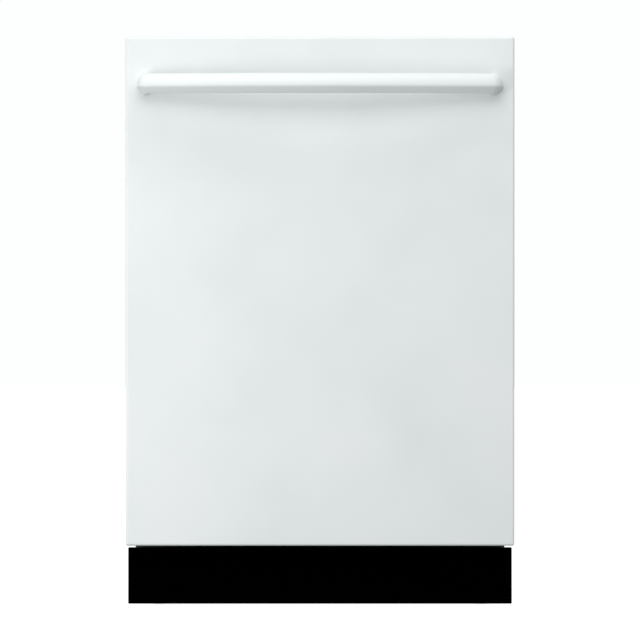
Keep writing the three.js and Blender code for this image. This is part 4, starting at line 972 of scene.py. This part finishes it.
@makes("circulation_pump_unit", [galvanised, black_pp, spring_steel, rubber], "circulation_pump")
def circulation_pump(bm):
    motor = [(0, 0), (34, 0), (37, 4), (37, 18)]
    for along in range(20, 86, 6):
        motor += [(38, along), (41, along + 0.8), (41, along + 2.6), (38, along + 3.4)]
    turned(bm, motor + [(38, 93), (0, 93)], PUMP, 44, "X")
    volute = [(0, 93.5), (40, 93.5), (47, 98), (47, 120), (38, 125), (21, 126), (20, 128), (20, 150)]
    turned(bm, bent(volute, 1.5), PUMP, 44, "X", 1)
    turned(bm, bent([(20, 136), (22, 136), (22, 200)], 1), PUMP, 44, "X", 3)
    turned(bm, bent([(21.8, 141), (23, 141), (23, 149), (21.8, 149)], 0.4), PUMP, 44, "X", 2)
    cut_at(bm, Vector((-32, 70, 92)) * MM, (0.83, -0.557, 0), drop=True)
    block(bm, (-200, 50, 34.4), (-130, 90, 58), 3, 2, 1)
    block(bm, (-198, 60, 128), (-176, 80, 136), 1, 2, 1)
    screw = [(0, 0.6), (1.6, 0.6), (2, 1.8), (3.4, 1.2), (3.8, -0.6)]
    for y, z in circle(8, 42, 0.5):
        turned(bm, screw, (-89.4, PUMP[1] + y, PUMP[2] + z), 14, "X", 2)


@makes("drain_pump_unit", dark_plastic, "drain_pump", crease=40)
def drain_pump(bm):
    turned(bm, bent([(0, 0), (24, 0), (26, 3), (26, 42), (30, 43), (30, 60), (0, 60)], 1.2), (*DRAIN, 40), 36)
    barb = [(5.2, 0), (7, 0), (7, 30), (6.2, 31), (7.6, 36), (6.2, 41), (7.6, 46), (5.2, 53), (5.2, 20)]
    turned(bm, barb, (*DRAIN, 92), 24, "X")
    draw(bm, [(7.5, [(*DRAIN, 91.5), (121.5, -48, 91.5)])], round_by=4)
    ribs(bm, 10, (*DRAIN, 40), (25, -0.9, 5), (28.4, 0.9, 42), 0.5)


spots = [(-214, -175 + 2.4 * k, 57) for k in range(8)]
thread = studs([(12.6, 0), (13.6, 0.7), (12.6, 1.4)], spots, 28, "Y")
refined("inlet_valve_unit", "inlet_valve", grey_plastic, 0.25, more=thread)
spots = [(73, -187, 37), (147, -187, 81)]
screws = studs([(0, -0.4), (1.7, -0.4), (2.1, -1.5), (3.6, -1.1), (4, 0.3)], spots, 18, "Y")
refined("wiring_box", "junction_box", galvanised, 0.6, more=screws)


# ---- water duct and spray arms
# A flattened duct climbs the tub's back and runs forward to the top nozzle, with a port for the upper
# rack. Each arm is a blade with swept wings and raised jets.

@makes("water_duct", grey_plastic, "feed_duct", crease=45)
def water_duct(bm):
    y, ceiling = 308.4, 818.4
    path = bent([(y, 166), (y, ceiling), (40, ceiling)], 34, steps=10)
    rings = []
    for i, spot in enumerate(path):
        ahead = (path[min(i + 1, len(path) - 1)] - path[max(i - 1, 0)]).normalized()
        rings.append(oval(bm, (0, spot.x, spot.y), (1, 0, 0), 20, (0, ahead.y, -ahead.x), 9, 0.6))
    skin(bm, rings, caps="az")
    turned(bm, bent([(10, 0), (13, 0), (13, 36), (15, 37), (15, 39)], 0.8), (0, 270, 534), 36, "Y")
    turned(bm, bent([(0, -14), (24, -12), (30, -6), (30, 0), (12, 3), (0, 3)], 1), (*ARMS, ceiling - 5), 44)
    hole = [(0.8, 0.9), (1.4, -0.9), (2.4, -0.8), (3, 0.6)]
    for x, across in circle(10, 17):
        turned(bm, hole, (x, ARMS[1] + across, ceiling - 17.6), 12)
    for z in (240, 420, 640):
        block(bm, (-26, 311, z), (26, 317.8, z + 14), 1.5)
    turned(bm, bent([(12, 0), (12, 13.2), (0, 13.2)], 0.8), (0, y, 188), 28, "Y")


def spray_arm(name, node, reach, thick, level, hub, bore):
    bm = bmesh.new()
    round_from = reach - 20
    jet = [(6, -1.6), (4.6, 0.6), (3.6, 1.8), (1.8, 1.5), (1.4, -1.5), (0, -1.6)]
    for side in (-1, 1):
        places = [16 + (round_from - 16) * k / 16 for k in range(17)]
        rings = [(x, 34 - 16 * (x / round_from) ** 0.8) for x in places]
        rings += [(round_from + 18 * sin(a), 18 * cos(a)) for a in (0.35, 0.7, 1.0, 1.25, 1.45)]
        loops = [oval(bm, (side * x, 40 - side * 6 * x / reach, level + thick / 2), (0, 1, 0), wide,
                      (0, 0, 1), thick / 2 * (0.45 + 0.55 * min(1, wide / 14)), 0.62) for x, wide in rings]
        skin(bm, loops, caps="az")
        for k, share in enumerate((0.22, 0.36, 0.49, 0.62, 0.75, 0.88)):
            x = side * reach * share
            y = 40 + side * (2 - 8 * share) + (7 if k % 2 else -7) * (1 - share * 0.5)
            turned(bm, jet, (x, y, level + thick), 20)
    boss = [(bore, 0.4), (32, 0.4), (35, 3), (35.4, thick / 2), (34.6, thick - 2.4), (31, thick - 0.3),
            (bore, thick)]
    turned(bm, boss, (*ARMS, level), 48)
    turned(bm, bent(hub, 1.4), (*ARMS, level), 40)
    ribs(bm, 8, (*ARMS, level), (20, -0.8, thick - 1), (28, 0.8, thick + 3), 0.5, 0.5)
    make(name, bm, grey_plastic, node, crease=50)


spray_arm("lower_arm_blade", "lower_spray_arm", 228, 14, 162,
          [(14.5, -6), (25, -6), (25, 18), (20, 24), (0, 24), (0, 20), (14.5, 20), (14.5, -6)], 14.6)
spray_arm("upper_arm_blade", "upper_spray_arm", 214, 12, 506,
          [(0, -2), (18, -2), (22, 2), (22, 19), (10.95, 19), (10.95, 4), (0, 4)], 11)


# ---- lower rack
# Heavy rails outside U-shaped wires, brackets for the four wheels, two rows of plate tines that fold
# down, and a lattice basket for cutlery.

@finished("grey nylon wire coating", "a3abb3", 0.36)
def nylon(it):
    """Smooth and slightly soft, a shade lighter where the coat has gathered."""
    gather = it.noise(14 * MM, 3.0)
    it.tint(gather, "98a1a9", "b0b8bf", 0.35, 0.7)
    it.bump(gather, 0.15)


RACK_FRONT, RACK_BACK = -186, 264
AXLE = 188.3  # height of the lower rack's wheels


def rack_wires(half, low, high, lean, rails):
    """The wires of a rack, as runs for `draw`."""
    runs = []
    for z in rails:
        near = RACK_FRONT + lean * (high - z) / (high - low)
        ring = [(-half, near, z), (half, near, z), (half, RACK_BACK, z), (-half, RACK_BACK, z)]
        runs.append((2.6, bent(ring, 22, closed=True, steps=6), True))
    near, far, side = RACK_FRONT + 4.2, RACK_BACK - 4.2, half - 4.2
    for k in range(1, 16):
        x = half * (k / 8 - 1)
        path = [(x, near, high + 1), (x, near + lean, low), (x, far, low), (x, far, high + 1)]
        runs.append((1.9, bent(path, 12)))
    for y in range(-136, 201, 48):
        path = [(-side, y, high + 1), (-side, y, low - 3.6), (side, y, low - 3.6), (side, y, high + 1)]
        runs.append((1.9, bent(path, 12)))
    return runs


@makes("lower_wire_rack", [nylon, grey_plastic], "lower_rack", crease=62)
def lower_rack(bm):
    draw(bm, rack_wires(236, 205, 325, 22, (325, 265)))
    for side in (-1, 1):
        for y in (-88, 180):
            block(bm, (side * 228 - 4, y - 46, 198), (side * 228 + 4, y + 46, 208), 2, 2, 1)
            block(bm, (side * 233 - 7, y - 11, 180), (side * 233 + 7, y + 11, 204), 4, 3, 1)
            turned(bm, bent([(0, -1), (4, -1), (4, 28), (0, 28)], 1), (side * 232, y, AXLE), 20, "X", 1, side)
    for y in (-40, 56):
        for x in (-214, 130):
            for near, far, top in ((-6, -2.9, 215.4), (2.9, 6, 215.4), (-6, 6, 206.6)):
                block(bm, (x - 3, y + near, 200), (x + 3, y + far, top), 0.9, 2, 1)


def rack_wheel(node, x, y):
    bm = bmesh.new()
    tyre = [(15.2, -3.6), (16, -4.5), (17.4, -4.4), (18, -3), (18, 3), (17.4, 4.4), (16, 4.5), (15.2, 3.6),
            (15.2, -3.6)]
    hub = [(4.4, -6), (7.6, -6), (8.4, -5.2), (8.4, 5.2), (7.6, 6), (4.4, 6), (4.4, -6)]
    web = [(8, -1), (15.4, -1), (15.4, 1), (8, 1), (8, -1)]
    for profile, steps in ((tyre, 40), (hub, 32), (web, 32)):
        turned(bm, profile, (x, y, AXLE), steps, "X")
    ribs(bm, 6, (x, y, AXLE), (-3.4, -1.1, 8), (3.4, 1.1, 15.6), 0.5, axis="X")
    make(f"{node}_moulding", bm, grey_plastic, node)


def plate_tines(end, y):
    bm = bmesh.new()
    z = 210.2
    runs = [(2.1, [(-219, y, z), (135, y, z)])]
    for k in range(13):
        x = -206 + 328 * k / 12
        tine = bent([(x, y, z), (x, y, z + 68), (x, y - 4.6, z + 82.4)], 8)
        runs.append((1.7, tine + [(x, y - 5, z + 83.6)]))
    draw(bm, runs)
    make(f"plate_tines_{end}", bm, nylon, f"folding_tines_{end}", crease=62)


for end, y in (("front", -88), ("rear", 180)):
    for side, hand in HANDS:
        rack_wheel(f"rack_wheel_{end}_{hand}", side * 252, y)
for end, y in (("front", -40), ("rear", 56)):
    plate_tines(end, y)


def slab(bm, corner, along, up, cells):
    """A flat grid of faces from a corner, spanned by two directions, in millimetres."""
    corner, along, up = Vector(corner), Vector(along), Vector(up)
    rows = [[bm.verts.new((corner + along * (i / cells[0]) + up * (j / cells[1])) * MM)
             for i in range(cells[0] + 1)] for j in range(cells[1] + 1)]
    for near, far in zip(rows, rows[1:]):
        for i in range(cells[0]):
            bm.faces.new((near[i], near[i + 1], far[i + 1], far[i]))


@makes("cutlery_lattice", dark_plastic, "cutlery_basket", crease=45)
def cutlery_basket(bm):
    low, tall = 209, 112
    for y, cells in ((-138.8, 7), (108.8, 7), (-56.3, 5), (26.2, 5)):
        slab(bm, (146, y, low), (76, 0, 0), (0, 0, tall), (10, cells))
    for x, cells in ((145.2, 7), (222.8, 7), (184, 5)):
        slab(bm, (x, -138, low), (0, 246, 0), (0, 0, tall), (30, cells))
    slab(bm, (146, -138, low), (76, 0, 0), (0, 246, 0), (12, 38))
    bm.normal_update()
    ops.wireframe(bm, faces=bm.faces[:], thickness=1.7 * MM, use_replace=True, use_boundary=True,
                  use_even_offset=True)
    for level, high in ((207.7, 3.4), (321, 4.4)):
        rows = [(0, level), (0, level + high), (2.4, level + high), (2.4, level), (0, level)]
        stack(bm, (144, 224), (-140, 110), 8, rows, 0.5, plane="xy")
    for x, y in ((144.8, -56), (144.8, 26), (223.2, -56), (223.2, 26)):
        block(bm, (x - 0.8, y - 2, 208), (x + 0.8, y + 2, 323), 0.4)
    bow = bent([(184, -74, 300), (184, -74, 361.6), (184, 44, 361.6), (184, 44, 300)], 24, steps=8)
    draw(bm, [(3, bow)], round_by=3)


# ---- upper rack
# A shallower rack with two rows of cup tines. Rollers on its sides run in the slide rails, and a flat
# tube under its floor feeds the upper arm.

@makes("upper_wire_rack", [nylon, grey_plastic], "upper_rack", crease=62)
def upper_rack(bm):
    runs = rack_wires(230, 548, 645, 12, (645, 596))
    for x in (-57.5, 57.5):
        runs.append((1.9, [(x, -100, 548.4), (x, 226, 548.4)]))
        for k in range(10):
            y = -88 + 33 * k
            tine = bent([(x, y, 548), (x + 1, y, 560), (x + 11.4, y, 606)], 6)
            runs.append((1.7, tine + [(x + 11.8, y, 607.6)]))
    draw(bm, runs)
    spindle = [(0, 0), (4, 0), (4, 18.6), (10, 18.8), (10.5, 20), (10.5, 25), (9.8, 25.6), (3, 25.6),
               (3, 24.8), (0, 24.8)]
    for side in (-1, 1):
        for y in (100, 196):
            block(bm, (side * 226 - 3, y - 46, 588), (side * 226 + 3, y + 46, 609), 2, 3, 1)
            turned(bm, spindle, (side * 226.8, y, 600), 28, "X", 1, side)


def roller_plate(side, hand):
    bm = bmesh.new()
    block(bm, (side * 269.1 - 1, -200, 580), (side * 269.1 + 1, -6, 620), 0.9, 2)
    roller = [(3.4, -8.6), (9.9, -8.6), (10.5, -7.8), (10.5, -1), (9.9, -0.4), (4, -0.4), (4, 3)]
    for y in (-176, -30):
        turned(bm, roller, (side * 265.6, y, 600), 32, "X", 0, side)
        turned(bm, [(0, -8.9), (3.4, -8.9), (3.4, 2)], (side * 265.6, y, 600), 20, "X", 1, side)
    for y in (-190, -103, -16):
        block(bm, (side * 267.6 - 0.9, y - 3, 584), (side * 267.6 + 0.9, y + 3, 616), 0.6, 1)
    make(f"roller_plate_{hand}", bm, [grey_plastic, spring_steel], f"rail_rollers_{hand}")


for side, hand in HANDS:
    refined(f"slide_channel_{hand}", f"slide_rail_{hand}", inner_steel)
    roller_plate(side, hand)


@makes("rack_feed_tube", grey_plastic, "upper_feed_tube", crease=50)
def rack_tube(bm):
    rows = [(269.2, 13, 10), (256, 13, 10), (246, 13, 8.6), (234, 13, 6.5), (150, 14, 6.5), (60, 15, 6.5),
            (30, 18, 6.5), (20, 17, 6), (15, 13, 4.6)]
    loops = [oval(bm, (0, y, 534), (1, 0, 0), a, (0, 0, 1), b, 0.75) for y, a, b in rows]
    skin(bm, loops, caps="az")
    turned(bm, bent([(7, 514.4), (10, 514.4), (10, 532)], 0.8), (*ARMS, 0), 28)
